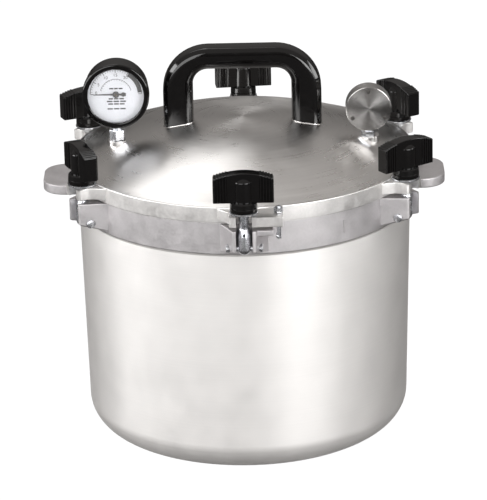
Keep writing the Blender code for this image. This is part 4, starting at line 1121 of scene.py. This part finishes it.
# ---- Cover ----------------------------------------------------------------------------------------
@dataclass
class Cover:
    """The domed cover with its lugs, and the fittings that are screwed to it."""

    steps: int = 144
    pot_inner: float = 155.5 * MM
    seat_width: float = 4.5 * MM
    rise: float = 35.5 * MM
    ledge: float = 3 * MM
    dome_wall: float = 5 * MM
    flange_radius: float = 166 * MM
    flange_low: float = RIM + 0.5 * MM
    flange_top: float = RIM + 16 * MM
    lug_low: float = RIM + 3.6 * MM
    lug_top: float = RIM + 14.8 * MM
    lug_tip: float = 10 * MM
    lug_tip_half: float = 13.6 * MM
    lug_root_half: float = 27 * MM
    slot_half: float = 7.4 * MM
    ear_length: float = 36 * MM
    spot_radius: float = 14.6 * MM
    hook_wire: float = 2.0 * MM
    hook_bend: float = 2.7 * MM
    spigot_gap: float = 0.3 * MM
    spigot_wall: float = 7 * MM
    spigot_depth: float = 11.5 * MM
    sphere: float = field(init=False)
    centre: float = field(init=False)

    def __post_init__(self) -> None:
        """Works out the sphere that the dome is cut from."""
        foot = self.flange_radius - self.ledge
        self.sphere = (foot**2 + self.rise**2) / (2 * self.rise)
        self.centre = self.flange_top + self.rise - self.sphere

    def dome(self, radius: float, sphere: float = 0.0) -> float:
        """The dome's level at a radius, or that of another sphere about the same centre."""
        return self.centre + math.sqrt((sphere or self.sphere) ** 2 - radius**2)

    def build(self) -> None:
        """Models the cover and everything that is fixed to it."""
        cover = turned("cover body", self.profile(), self.steps)
        for place in PLACES:
            combined(cover, self.lug(place.azimuth), Solid.ADD)
        combined(cover, self.ear(), Solid.ADD)
        # each fitting's node, the radius of its boss, the radius of its hole
        fittings = (
            ("vent_pipe", 10.5 * MM, 4.1 * MM), ("overpressure_plug", 11.5 * MM, 6.1 * MM),
            ("gauge_socket", 9.7 * MM, 4.8 * MM),
        )
        for node, radius, _ in fittings:
            x, y = stands_at(node)
            level = self.dome(math.hypot(x, y))
            boss = rod("boss", radius, level - 4 * MM, level + 2.8 * MM, 40, at=(x, y, 0))
            combined(cover, eased(boss, 0.8 * MM, 3, 60), Solid.ADD)
        for side in (-1, 1):
            combined(cover, self.pad(side), Solid.ADD)
        slot = open_slot(self.slot_half, BOLT_CIRCLE + self.lug_tip)
        for place in PLACES:
            cut = prism("slot", slot, self.lug_low - 5 * MM, self.flange_top + 5 * MM, turn=place.azimuth)
            combined(cover, cut, Solid.TAKE)
            spot = rod("spot face", self.spot_radius, self.lug_top + 0.15 * MM, self.flange_top + 30 * MM, 40,
                       at=(place.pin.x, place.pin.y, 0))
            combined(cover, spot, Solid.TAKE)
            combined(cover, self.crown(place.azimuth), Solid.TAKE)
        for node, _, radius in fittings:
            at = (*stands_at(node), 0)
            hole = rod("hole", radius, self.flange_low, self.flange_top + 60 * MM, 32, at)
            combined(cover, hole, Solid.TAKE)
        edge = self.flange_radius - 1.2 * MM
        two_finishes(cover, BRUSHED, FACED, lambda c: c.xy.length > edge)
        finished(cover, "cover_casting", BRUSHED, "cover", ["cover"])
        self.hook()
        self.vent()
        self.weight()
        self.plug()

    def profile(self) -> list[Point]:
        """The cover's section, from the crown over the flange and spigot to the inside of the crown.

        Returns:
            (radius, height) points.
        """
        inner_sphere = self.sphere - self.dome_wall
        outer, low, top = self.flange_radius, self.flange_low, self.flange_top
        foot, ease, depth = outer - self.ledge, 0.8 * MM, self.spigot_depth
        spigot = self.pot_inner - self.spigot_gap
        spigot_in = spigot - self.spigot_wall
        points = [(foot * i / 28, self.dome(foot * i / 28)) for i in range(29)]
        points += [
            (outer - ease, top), (outer - 0.3 * ease, top - 0.3 * ease), (outer, top - ease),
            (outer, low + ease), (outer - 0.3 * ease, low + 0.3 * ease), (outer - ease, low),
            (self.pot_inner + self.seat_width, low), (spigot, low - 6.9 * MM), (spigot, low - 10.5 * MM),
            (spigot - MM, low - depth), (spigot_in, low - depth),
        ]
        inside = [(spigot_in * i / 16, self.dome(spigot_in * i / 16, inner_sphere)) for i in range(17)]
        return points + inside[::-1]

    def lug(self, azimuth: float) -> bpy.types.Object:
        """A lug whose sides sweep in from the flange in an S.

        Args:
            azimuth: where it stands.

        Returns:
            The lug.
        """
        root, shoulder, tip = self.flange_radius - 8 * MM, BOLT_CIRCLE + 3 * MM, BOLT_CIRCLE + self.lug_tip
        half, wide, corner, steps = self.lug_tip_half, self.lug_root_half, 1.5 * MM, 14
        side = []
        for i in range(steps + 1):
            ease = 0.5 + 0.5 * math.cos(math.pi * i / steps)
            side.append((root + (shoulder - root) * i / steps, -(half + (wide - half) * ease)))
        side += [(tip - corner, -half), (tip, corner - half)]
        lug = prism("lug", mirrored(side), self.lug_low, self.lug_top)
        eased(lug, 0.7 * MM, 2, 50)
        return placed(lug, turn=azimuth)

    def ear(self) -> bpy.types.Object:
        """The long ear of the front lug, which carries the locating hook.

        Returns:
            The ear.
        """
        root, tip = self.flange_radius - 8 * MM, BOLT_CIRCLE + self.lug_tip - 0.1 * MM
        near, far = self.slot_half + MM, self.ear_length
        inset = 0.1 * MM
        ear = prism("ear", oblong(root, near, tip, far), self.lug_low + inset, self.lug_top - inset)
        eased(ear, 0.8 * MM, 2, 50)
        return placed(ear, turn=PLACES[0].azimuth)

    def crown(self, azimuth: float) -> bpy.types.Object:
        """What is cut from a lug's tip, so that the washer swings clear about the pin.

        Args:
            azimuth: where the lug stands.

        Returns:
            The cutter.
        """
        reach, length, steps = self.lug_top - PIN_LEVEL, self.lug_tip + 4 * MM, 10
        points = [(BOLT_CIRCLE, self.lug_top + 0.3 * MM)]
        for i in range(1, steps + 1):
            x = length * i / steps
            points.append((BOLT_CIRCLE + x, PIN_LEVEL + math.sqrt(reach**2 - x * x)))
        points += [(BOLT_CIRCLE + length, self.flange_top + 4 * MM), (BOLT_CIRCLE, self.flange_top + 4 * MM)]
        wide = self.ear_length + 4 * MM
        return prism("crown cutter", points, -wide, wide, turn=azimuth, lie=Lie.FRONT)

    def pad(self, side: int) -> bpy.types.Object:
        """The flared pad that a leg of the handle stands on.

        Args:
            side: -1 on the left, 1 on the right.

        Returns:
            The pad.
        """
        low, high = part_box("top_handle")
        leg, depth = HANDLE_LEG, high.y - low.y
        foot = self.dome(high.x) + 0.6 * MM
        climb = self.dome(high.x - leg) - self.dome(high.x)
        outline = []
        corner = 8 * MM
        for cx, cy, start in ((1, -1, -90), (1, 1, 0), (-1, 1, 90), (-1, -1, 180)):
            outline += arc((cx * (leg / 2 - corner), cy * (depth / 2 - corner)), corner, start, start + 90, 6)
        size, level = 1.3, foot - 6 * MM
        pad = prism("pad", outline, foot - 9 * MM, level)
        flare = ((2 * MM, 1.17), (2 * MM, 1.08), (2 * MM + climb / 2, 1.0))
        with edit(pad):
            bpy.ops.transform.resize(value=(size, size, 1), center_override=(0, 0, level))
            bpy.ops.mesh.select_mode(type="FACE")
            bpy.ops.mesh.select_all(action="DESELECT")
            shape = bmesh.from_edit_mesh(pad.data)
            max(shape.faces, key=lambda f: f.calc_center_median().z).select_set(True)
            bmesh.update_edit_mesh(pad.data)
            for lift, scale in flare:
                bpy.ops.mesh.extrude_region_move(TRANSFORM_OT_translate={"value": (0, 0, lift)})
                level += lift
                bpy.ops.transform.resize(value=(scale / size, scale / size, 1), center_override=(0, 0, level))
                size = scale
        slope = -side * climb / leg
        for vertex in pad.data.vertices:
            if vertex.co.z > level - 0.01 * MM:
                vertex.co.z += slope * vertex.co.x
        return placed(pad, (side * (high.x - leg / 2), 0, 0))

    def hook(self) -> None:
        """The bent wire that catches under the pot's ledge, and its nut."""
        (low, high), wire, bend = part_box("hook_nut"), self.hook_wire, self.hook_bend
        x, y = stands_at("hook_nut")
        bottom, tip = (corner.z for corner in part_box("locating_hook"))
        bpy.ops.object.select_all(action="DESELECT")
        bpy.ops.mesh.primitive_circle_add(vertices=20, radius=wire, location=(x, y, tip), fill_type="NGON")
        hook = bpy.context.object
        bpy.ops.object.transform_apply(location=True)
        with edit(hook):
            bend_level = bottom + wire + bend
            bpy.ops.mesh.extrude_region_move(TRANSFORM_OT_translate={"value": (0, 0, bend_level - tip)})
            bpy.ops.mesh.spin(steps=10, angle=math.pi / 2, center=(x - bend, y, bend_level), axis=(0, 1, 0))
            welded()
            bpy.ops.mesh.delete_loose()
        eased(hook, 0.4 * MM, 2, 60)
        finished(hook, "locating_hook_wire", ZINC, "cover", ["locating_hook"])
        radius, height = 4.6 * MM, high.z - low.z
        nut = rod("nut", radius, 0, height, 6)
        wide, narrow = radius + 0.6 * MM, radius - 0.7 * MM
        corners = [
            (0, -MM), (radius - 0.6 * MM, -MM), (wide, MM), (wide, height - MM), (narrow, height),
            (narrow, height + MM), (0, height + MM),
        ]
        combined(nut, turned("round", corners, 32), Solid.KEEP)
        combined(nut, rod("hole", wire + 0.2 * MM, -2 * MM, height + 2 * MM, 20), Solid.TAKE)
        placed(nut, (x, y, low.z), 15)
        finished(nut, "hook_lock_nut", ZINC, "cover", ["hook_nut"])

    def vent(self) -> None:
        """The vent pipe, with its hexagon and its bore."""
        low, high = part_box("vent_pipe")
        x, y = stands_at("vent_pipe")
        hex_low = self.dome(math.hypot(x, y)) + 3.1 * MM
        pipe, bore = 3.8 * MM, 1.6 * MM
        profile = [
            (bore, low.z), (pipe - 0.5 * MM, low.z), (pipe, low.z + 0.5 * MM), (pipe, high.z - 2 * MM),
            (pipe * 0.7, high.z), (bore, high.z),
        ]
        vent = turned("vent", profile, 32, at=(x, y, 0), closed=True)
        hexagon = rod("hexagon", 7.2 * MM, hex_low, hex_low + 4 * MM, 6)
        placed(eased(hexagon, 0.4 * MM, 2, 50), (x, y, 0), 10)
        combined(hexagon, rod("bore", bore + MM, low.z, high.z, 24, at=(x, y, 0)), Solid.TAKE)
        combined(vent, hexagon, Solid.ADD)
        finished(vent, "vent_pipe_body", ZINC, "cover", ["vent_pipe"])

    def weight(self) -> None:
        """The thick disc that stands on edge on the vent pipe."""
        low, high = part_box("regulator_weight")
        middle = (low + high) / 2
        radius, half, ease = (high.x - low.x) / 2, (high.y - low.y) / 2, 0.7 * MM
        face = [
            (0, -half + 0.5 * MM), (0.9 * MM, -half), (radius - ease, -half),
            (radius - 0.25 * ease, -half + 0.25 * ease), (radius, -half + ease),
        ]
        weight = turned("weight", mirrored(face), 96, at=middle, lie=Lie.BACK)
        for angle in (90, 210, 330):
            x, z = around(angle, radius - 4.3 * MM)
            at = (middle.x + x, middle.y, middle.z + z)
            combined(weight, rod("port", 1.9 * MM, -half - MM, half + MM, 24, at, Lie.BACK), Solid.TAKE)
        seat = rod("seat", 4.4 * MM, -radius - MM, -radius + 13 * MM, 32, at=middle)
        combined(weight, seat, Solid.TAKE)
        turned_face = Turned(
            "turned aluminium disc", "polished_aluminium", "dcdad8", 0.20, pitch=0.7 * MM, depth=0.004 * MM,
            anisotropy=0.92, tone=0.10, axis=(0, 1, 0), centre=tuple(middle),
        )
        finished(weight, "regulator_weight_disc", turned_face, "weight", ["regulator_weight"])

    def plug(self) -> None:
        """The soft plug that blows out if the pressure runs away."""
        low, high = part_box("overpressure_plug")
        x, y = stands_at("overpressure_plug")
        neck, head, shoulder, rim = 5.8 * MM, (high.x - low.x) / 2, high.z - 5.5 * MM, high.z - 0.6 * MM
        profile = [
            (0, low.z), (neck * 0.75, low.z), (neck, low.z + 2 * MM), (neck, shoulder),
            (head - 0.4 * MM, shoulder), (head, shoulder + 0.5 * MM), (head, shoulder + 2.6 * MM),
            (head - 0.5 * MM, shoulder + 3.6 * MM), (head * 0.8, rim), (head * 0.4, high.z),
            (head * 0.35, rim), (0, rim),
        ]
        plug = turned("plug", profile, 48, at=(x, y, 0))
        finished(plug, "overpressure_plug_moulding", RUBBER, "plug", ["overpressure_plug"])


# ---- Top handle -----------------------------------------------------------------------------------
@dataclass
class TopHandle:
    """The moulded arch that the cover is lifted by, and its two screws."""

    leg: float = HANDLE_LEG
    bar: float = 22 * MM
    inner_corner: float = 15 * MM
    facet_width: float = 8.5 * MM
    facets: int = 3
    ridge: float = 0.45 * MM

    def build(self, cover: Cover) -> None:
        """Models the arch with its lengthwise facets, and the screws.

        Args:
            cover: what it stands on.
        """
        low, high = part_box("top_handle")
        half, depth = high.x, high.y - low.y
        foot = cover.dome(half) + 0.9 * MM
        climb = cover.dome(half - self.leg) - cover.dome(half)
        height = high.z - foot
        corner, inner_half, inner_height = self.inner_corner + self.leg, half - self.leg, height - self.bar
        steps = 14
        points = [(half, 0)]
        points += arc((half - corner, height - corner), corner, 0, 90, steps)
        points += arc((-half + corner, height - corner), corner, 90, 180, steps)
        points += [(-half, 0), (-inner_half, climb)]
        inner = self.inner_corner
        points += arc((-inner_half + inner, inner_height - inner), inner, 180, 90, steps)
        points += arc((inner_half - inner, inner_height - inner), inner, 90, 0, steps)
        points += [(inner_half, climb)]
        handle = prism("handle", points, -depth / 2, depth / 2)
        face, clear = depth / 2 - 0.01 * MM, climb + 0.1 * MM
        with edit(handle):
            select_edges(handle, lambda a, b: a.z * b.z > face**2 and (max(a.y, b.y) > clear))
            bpy.ops.mesh.bevel(offset=self.facet_width, segments=self.facets, profile=0.5, affect="EDGES")
        eased(handle, self.ridge, 2, 18)
        placed(handle, (0, 0, foot), lie=Lie.FRONT)
        finished(handle, "top_handle_moulding", PHENOLIC, "cover", ["top_handle"])
        for name in ("left", "right"):
            self.screw(name)

    def screw(self, name: str) -> None:
        """A slotted screw that comes up into a leg from inside the cover.

        Args:
            name: the side it is on.
        """
        low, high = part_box(f"handle_screw_{name}")
        x, head, shank, top = (low.x + high.x) / 2, 6 * MM, 3 * MM, low.z + 3.5 * MM
        profile = [
            (0, low.z), (head * 0.6, low.z), (head * 0.9, low.z + MM), (head, low.z + 2 * MM), (head, top),
            (shank, top), (shank, high.z - MM), (0, high.z),
        ]
        screw = turned("screw", profile, 32)
        slot = oblong(-head - MM, -0.6 * MM, head + MM, 0.6 * MM)
        combined(screw, prism("slot", slot, low.z - MM, low.z + 1.3 * MM), Solid.TAKE)
        placed(screw, (x, 0, 0))
        finished(screw, f"handle_screw_body_{name}", ZINC, "cover", [f"handle_screw_{name}"])


# ---- Dial gauge -----------------------------------------------------------------------------------
@dataclass
class Gauge:
    """The dial gauge. Its sizes are measured back from the front of its bezel, and out from its middle."""

    steps: int = 96
    radius: float = 32 * MM
    lip_radius: float = 26.8 * MM
    case_radius: float = 30.4 * MM
    case_inner: float = 28.9 * MM
    depth: float = 30 * MM
    bezel_depth: float = 10.5 * MM
    lens_front: float = 2.3 * MM
    lens_thickness: float = 1.8 * MM
    dial_depth: float = 8.5 * MM
    dial_thickness: float = 0.6 * MM
    ink_height: float = 0.06 * MM
    needle_length: float = 21.5 * MM
    needle_tail: float = 9.5 * MM
    scale_radius: float = 24.8 * MM         # of the outer scale's line
    tick_radius: float = 24.2 * MM          # where that scale's ticks end
    inner_scale_radius: float = 15.2 * MM
    band_radius: float = 25.0 * MM          # of the broad band at the scale's upper end
    number_radius: float = 18.9 * MM
    number_size: float = 4.4 * MM
    ink_foot: float = 0.01 * MM             # over the dial, so that the two don't share a face
    centre: Vector = field(init=False)

    def __post_init__(self) -> None:
        """Finds the needle's axis at the front of the bezel."""
        self.centre = Vector(JOINTS["needle_turn"]["pos_m"])

    def build(self) -> None:
        """Models the shell, the dial with its print, the needle and the socket."""
        self.shell()
        self.dial()
        self.needle()
        self.socket()

    def shell(self) -> None:
        """The case, the bezel and the glass."""
        front, back, ease, wall = self.lens_front + 2.1 * MM, self.depth, 2 * MM, 1.5 * MM
        profile = [(0, back)] + arc((self.case_radius - ease, back - ease), ease, 90, 0, 6)
        profile += [
            (self.case_radius, front), (self.case_inner, front), (self.case_inner, back - wall),
            (0, back - wall),
        ]
        case = turned("case", profile, self.steps, at=self.centre, lie=Lie.BACK)
        finished(case, "gauge_case_shell", PHENOLIC, "cover", ["gauge_case"])
        lip, outer, inside, deep = self.lip_radius, self.radius, self.case_radius + 0.3 * MM, self.bezel_depth
        profile = [(lip, 0.9 * MM), (lip + 0.5 * MM, 0.3 * MM), (lip + 1.4 * MM, 0)]
        edge = 1.6 * MM
        profile += arc((outer - edge, edge), edge, -90, 0, 6)
        profile += [
            (outer, deep - 0.5 * MM), (outer - 0.5 * MM, deep), (inside, deep), (inside, 2 * MM),
            (lip, 2 * MM),
        ]
        bezel = turned("bezel", profile, self.steps, at=self.centre, lie=Lie.BACK, closed=True)
        finished(bezel, "gauge_bezel_ring", PHENOLIC, "cover", ["gauge_bezel"])
        face, radius = self.lens_front, self.case_radius - 0.3 * MM
        lens = rod("lens", radius, face, face + self.lens_thickness, self.steps, self.centre, Lie.BACK)
        finished(lens, "gauge_lens_glass", GLASS, "cover", ["gauge_lens"])

    def dial(self) -> None:
        """The painted dial plate and all that is printed on it."""
        near, far = 1.7 * MM, self.case_inner - 0.3 * MM
        profile = oblong(near, self.dial_depth, far, self.dial_depth + self.dial_thickness)
        plate = turned("dial", profile, self.steps, at=self.centre, lie=Lie.BACK, closed=True)
        finished(plate, "gauge_dial_plate", DIAL_PAINT, "cover", ["gauge_dial"])
        print_parts = [
            self.stroke_arc(self.scale_radius, 0.5 * MM, 0, 180),
            self.stroke_arc(self.inner_scale_radius, 0.4 * MM, 15, 165),
            self.stroke_arc(self.band_radius, 4.2 * MM, 3, 58),
        ]
        for i in range(31):
            length, width = (2.8 * MM, 0.6 * MM) if i % 5 == 0 else (1.6 * MM, 0.35 * MM)
            print_parts.append(self.tick(180 - 6 * i, self.tick_radius, length, width))
        for i in range(16):
            print_parts.append(self.tick(165 - 10 * i, self.inner_scale_radius, 1.5 * MM, 0.4 * MM))
        for number, angle in ((0, 176), (5, 150), (10, 120), (15, 90), (20, 60)):
            print_parts.append(self.number(str(number), angle, self.number_radius, self.number_size))
        # plain bars where the makers print their words: the middle of a row and half its length, in mm
        for y, half in ((5.6, 7.0), (-4.6, 8.0), (-7.2, 10.0), (-9.8, 8.6), (-14.6, 9.5)):
            for share in (-0.62, 0.02, 0.66):
                left, right = (share - 0.27) * half * MM, (share + 0.27) * half * MM
                outline = oblong(left, (y - 0.7) * MM, right, (y + 0.7) * MM)
                print_parts.append(prism("bar", outline, self.ink_foot, self.ink_height))
        ink = gathered(print_parts, "print")
        placed(ink, self.centre + Vector((0, self.dial_depth, 0)), lie=Lie.FRONT)
        finished(ink, "gauge_dial_print", INK, "cover")

    def stroke_arc(self, radius: float, width: float, start: float, end: float) -> bpy.types.Object:
        """A printed arc.

        Args:
            radius: its outer radius.
            width: how thick the line is.
            start: where it starts, in degrees from 3 o'clock.
            end: where it ends.

        Returns:
            The arc.
        """
        steps = max(4, int(abs(end - start) / 4))
        outline = arc((0, 0), radius, start, end, steps) + arc((0, 0), radius - width, end, start, steps)
        return prism("arc", outline, self.ink_foot, self.ink_height)

    def tick(self, angle: float, radius: float, length: float, width: float) -> bpy.types.Object:
        """A mark across the scale.

        Args:
            angle: degrees from 3 o'clock.
            radius: where its outer end is.
            length: inwards.
            width: how thick it is.

        Returns:
            The mark.
        """
        outline = oblong(radius - length, -width / 2, radius, width / 2)
        return prism("tick", outline, self.ink_foot, self.ink_height, turn=angle)

    def number(self, words: str, angle: float, radius: float, size: float) -> bpy.types.Object:
        """A number on the scale.

        Args:
            words: its digits.
            angle: degrees from 3 o'clock.
            radius: where its middle is.
            size: its height.

        Returns:
            The number, as a mesh.
        """
        bpy.ops.object.select_all(action="DESELECT")
        bpy.ops.object.text_add()
        text = bpy.context.object
        text.data.body = words
        text.data.size = size
        text.data.align_x = text.data.align_y = "CENTER"
        text.data.extrude = self.ink_height / 2
        text.data.resolution_u = 3
        bpy.ops.object.convert(target="MESH")
        return placed(bpy.context.object, (*around(angle, radius), self.ink_height / 2))

    def needle(self) -> None:
        """The needle at zero, pointing left, with its counterweight and its hub."""
        back, tail = self.dial_depth - 1.2 * MM, self.needle_tail
        side = [
            (-self.needle_length, 0.25 * MM), (0, 0.8 * MM), (tail * 0.5, 0.8 * MM), (tail * 0.7, 2.1 * MM),
            (tail, 1.4 * MM),
        ]
        needle = prism("needle", mirrored(side), back - 0.7 * MM, back, lie=Lie.BACK)
        face, foot, radius = back - 1.3 * MM, back + 0.1 * MM, 3.2 * MM
        profile = [(0, face), (2.4 * MM, face), (radius, back - 0.9 * MM), (radius, foot), (0, foot)]
        hub = turned("hub", profile, 32, lie=Lie.BACK)
        slot = oblong(-4 * MM, -0.3 * MM, 4 * MM, 0.3 * MM)
        combined(hub, prism("slot", slot, back - 2 * MM, back - 1.0 * MM, lie=Lie.BACK), Solid.TAKE)
        combined(needle, hub, Solid.ADD)
        finished(placed(needle, self.centre), "gauge_needle_blade", INK, "needle", ["gauge_needle"])

    def socket(self) -> None:
        """The stem and hexagon under the case, and the block inside it."""
        low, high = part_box("gauge_socket")
        case_low = self.centre.z - self.case_radius
        wall, boss, gap = 5 * MM, 3 * MM, 3.1 * MM
        hex_low = low.z + wall + boss + gap
        hex_high = hex_low + 0.6 * (case_low - hex_low)
        stem, ease, top = 4.5 * MM, 0.6 * MM, high.z - 7 * MM
        profile = [(0, low.z), (stem - ease, low.z), (stem, low.z + ease), (stem, top), (0, top)]
        socket = turned("stem", profile, 32)
        hexagon = eased(rod("hexagon", 8.2 * MM, hex_low, hex_high, 6), 0.5 * MM, 2, 50)
        combined(socket, placed(hexagon, turn=20), Solid.ADD)
        half_x, half_y = 6 * MM, 4.5 * MM
        block = prism("block", oblong(-half_x, -half_y, half_x, half_y), high.z - 9 * MM, high.z)
        combined(socket, eased(block, ease, 2, 50), Solid.ADD)
        placed(socket, (*stands_at("gauge_socket"), 0))
        finished(socket, "gauge_stem", ZINC, "cover", ["gauge_socket"])


def dress_inner_parts() -> None:
    """Gives the gauge's movement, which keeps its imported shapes, its metals."""
    for node, finish in (("bourdon_tube", BRASS), ("movement_plate", BRASS), ("sector_gear", BRASS),
                         ("needle_spindle", BRASS), ("sector_pin", ZINC)):
        piece = frame["nodes"][node]
        piece.data.materials.clear()
        piece.data.materials.append(finish.material())
        LOG.info("%s: dressed in %s", node, finish.name)


# ---- Studio ---------------------------------------------------------------------------------------
@dataclass
class Studio:
    """A pale floor, soft lights, and a long lens a little above the canner."""

    target: Point = (0.0, 0.0, NUT_LEVEL)
    distance: float = 3.37
    azimuth: float = 0.35
    elevation: float = 18.64
    tilt: float = 1.658
    roll: float = 1.24
    lens: float = 250.9
    floor_glow: float = 1.05               # what the eye sees of the paper
    room_glow: float = 1.1                 # what the eye sees of the room
    mirrored_low: float = 0.08             # the room in reflections, level with the canner
    mirrored_high: float = 0.48            # and overhead

    def build(self) -> None:
        """Sets up the floor, the lights, the surroundings and the camera."""
        self.floor()
        self.surroundings()
        # each light's name, its place, its width and height, its watts
        for name, at, size, watts in (
            ("key", (-1.5, -2.9, 1.1), (2.6, 2.0), 66),
            ("fill", (1.9, -2.6, 0.9), (2.2, 1.6), 92),
            ("left", (-3.0, -0.5, 1.0), (1.6, 1.8), 74),
            ("back_left", (-0.60, 1.15, 2.35), (1.4, 0.9), 8),
            ("right", (2.8, -0.2, 1.1), (0.6, 1.6), 22),
        ):
            self.softbox(name, at, size, watts)
        self.camera()
        bpy.context.scene.view_settings.view_transform = "Standard"

    def floor(self) -> None:
        """A wide matt sheet that the canner stands on."""
        bpy.ops.object.select_all(action="DESELECT")
        bpy.ops.mesh.primitive_plane_add(size=30, location=(0, 0, 0))
        floor = bpy.context.object
        floor.name = "studio_floor"
        paper = bpy.data.materials.new("white backdrop paper")
        paper.use_nodes = True
        tree = paper.node_tree
        shader = tree.nodes["Principled BSDF"]
        shader.inputs["Base Color"].default_value = linear("444241")
        shader.inputs["Roughness"].default_value = 0.9
        # The eye sees white paper; metal and gloss mirror a darker one, as they do on a small table.
        seen = add(tree, "Emission", {"Color": linear("ffffff"), "Strength": self.floor_glow}).outputs[0]
        eye = add(tree, "LightPath").outputs["Is Camera Ray"]
        mixed = add(tree, "MixShader", {0: eye, 1: shader.outputs[0], 2: seen}).outputs[0]
        tree.links.new(mixed, tree.nodes["Material Output"].inputs["Surface"])
        floor.data.materials.append(paper)

    def surroundings(self) -> None:
        """A white room to the eye, and a greyer one in reflections, so that metal keeps its modelling."""
        world = bpy.data.worlds.new("studio")
        world.use_nodes = True
        bpy.context.scene.world = world
        tree = world.node_tree
        tree.nodes.clear()
        seen = add(tree, "Background", {"Color": linear("ffffff"), "Strength": self.room_glow}).outputs[0]
        heading = add(tree, "TexCoord").outputs["Generated"]
        height = add(tree, "SeparateXYZ", {0: heading}).outputs["Z"]
        rise = {"Value": height, "From Min": 0.0, "From Max": 0.8}
        glow = add(tree, "MapRange", rise | {"To Min": self.mirrored_low, "To Max": self.mirrored_high})
        lit = add(tree, "Background", {"Color": linear("fffaf6"), "Strength": glow.outputs[0]}).outputs[0]
        camera_ray = add(tree, "LightPath").outputs["Is Camera Ray"]
        mixed = add(tree, "MixShader", {0: camera_ray, 1: lit, 2: seen}).outputs[0]
        add(tree, "OutputWorld", {"Surface": mixed})

    def softbox(self, name: str, at: Point, size: Point, watts: float) -> None:
        """A rectangular light that faces the canner.

        Args:
            name: its name.
            at: where it stands.
            size: its width and height.
            watts: its power.
        """
        bpy.ops.object.light_add(type="AREA", location=at)
        light = bpy.context.object
        light.name = f"softbox_{name}"
        light.data.shape = "RECTANGLE"
        light.data.size, light.data.size_y = size
        light.data.energy = watts
        light.rotation_mode = "QUATERNION"
        light.rotation_quaternion = (Vector(self.target) - Vector(at)).to_track_quat("-Z", "Y")

    def camera(self) -> None:
        """The camera looks at its target, and is then rolled and tipped down."""
        azimuth, elevation = math.radians(self.azimuth), math.radians(self.elevation)
        flat = math.cos(elevation)
        back = Vector((math.sin(azimuth) * flat, -math.cos(azimuth) * flat, math.sin(elevation)))
        bpy.ops.object.camera_add(location=Vector(self.target) + back * self.distance)
        camera = bpy.context.object
        camera.name = "studio_camera"
        facing = (-back).to_track_quat("-Z", "Y").to_matrix()
        roll = Matrix.Rotation(math.radians(-self.roll), 3, "Z")
        tilt = Matrix.Rotation(math.radians(-self.tilt), 3, "X")
        camera.rotation_mode = "QUATERNION"
        camera.rotation_quaternion = (facing @ roll @ tilt).to_quaternion()
        camera.data.lens = self.lens
        camera.data.sensor_width = 36
        camera.data.clip_end = 100
        bpy.context.scene.camera = camera


def main() -> None:
    """Builds the studio and every piece of the canner."""
    Studio().build()
    Clamps().build()
    Pot().build()
    cover = Cover()
    cover.build()
    TopHandle().build(cover)
    Gauge().build()
    dress_inner_parts()
    bpy.context.view_layer.update()


if __name__ == "__main__":
    logging.basicConfig(level=logging.INFO, format="%(name)s: %(message)s")
    main()
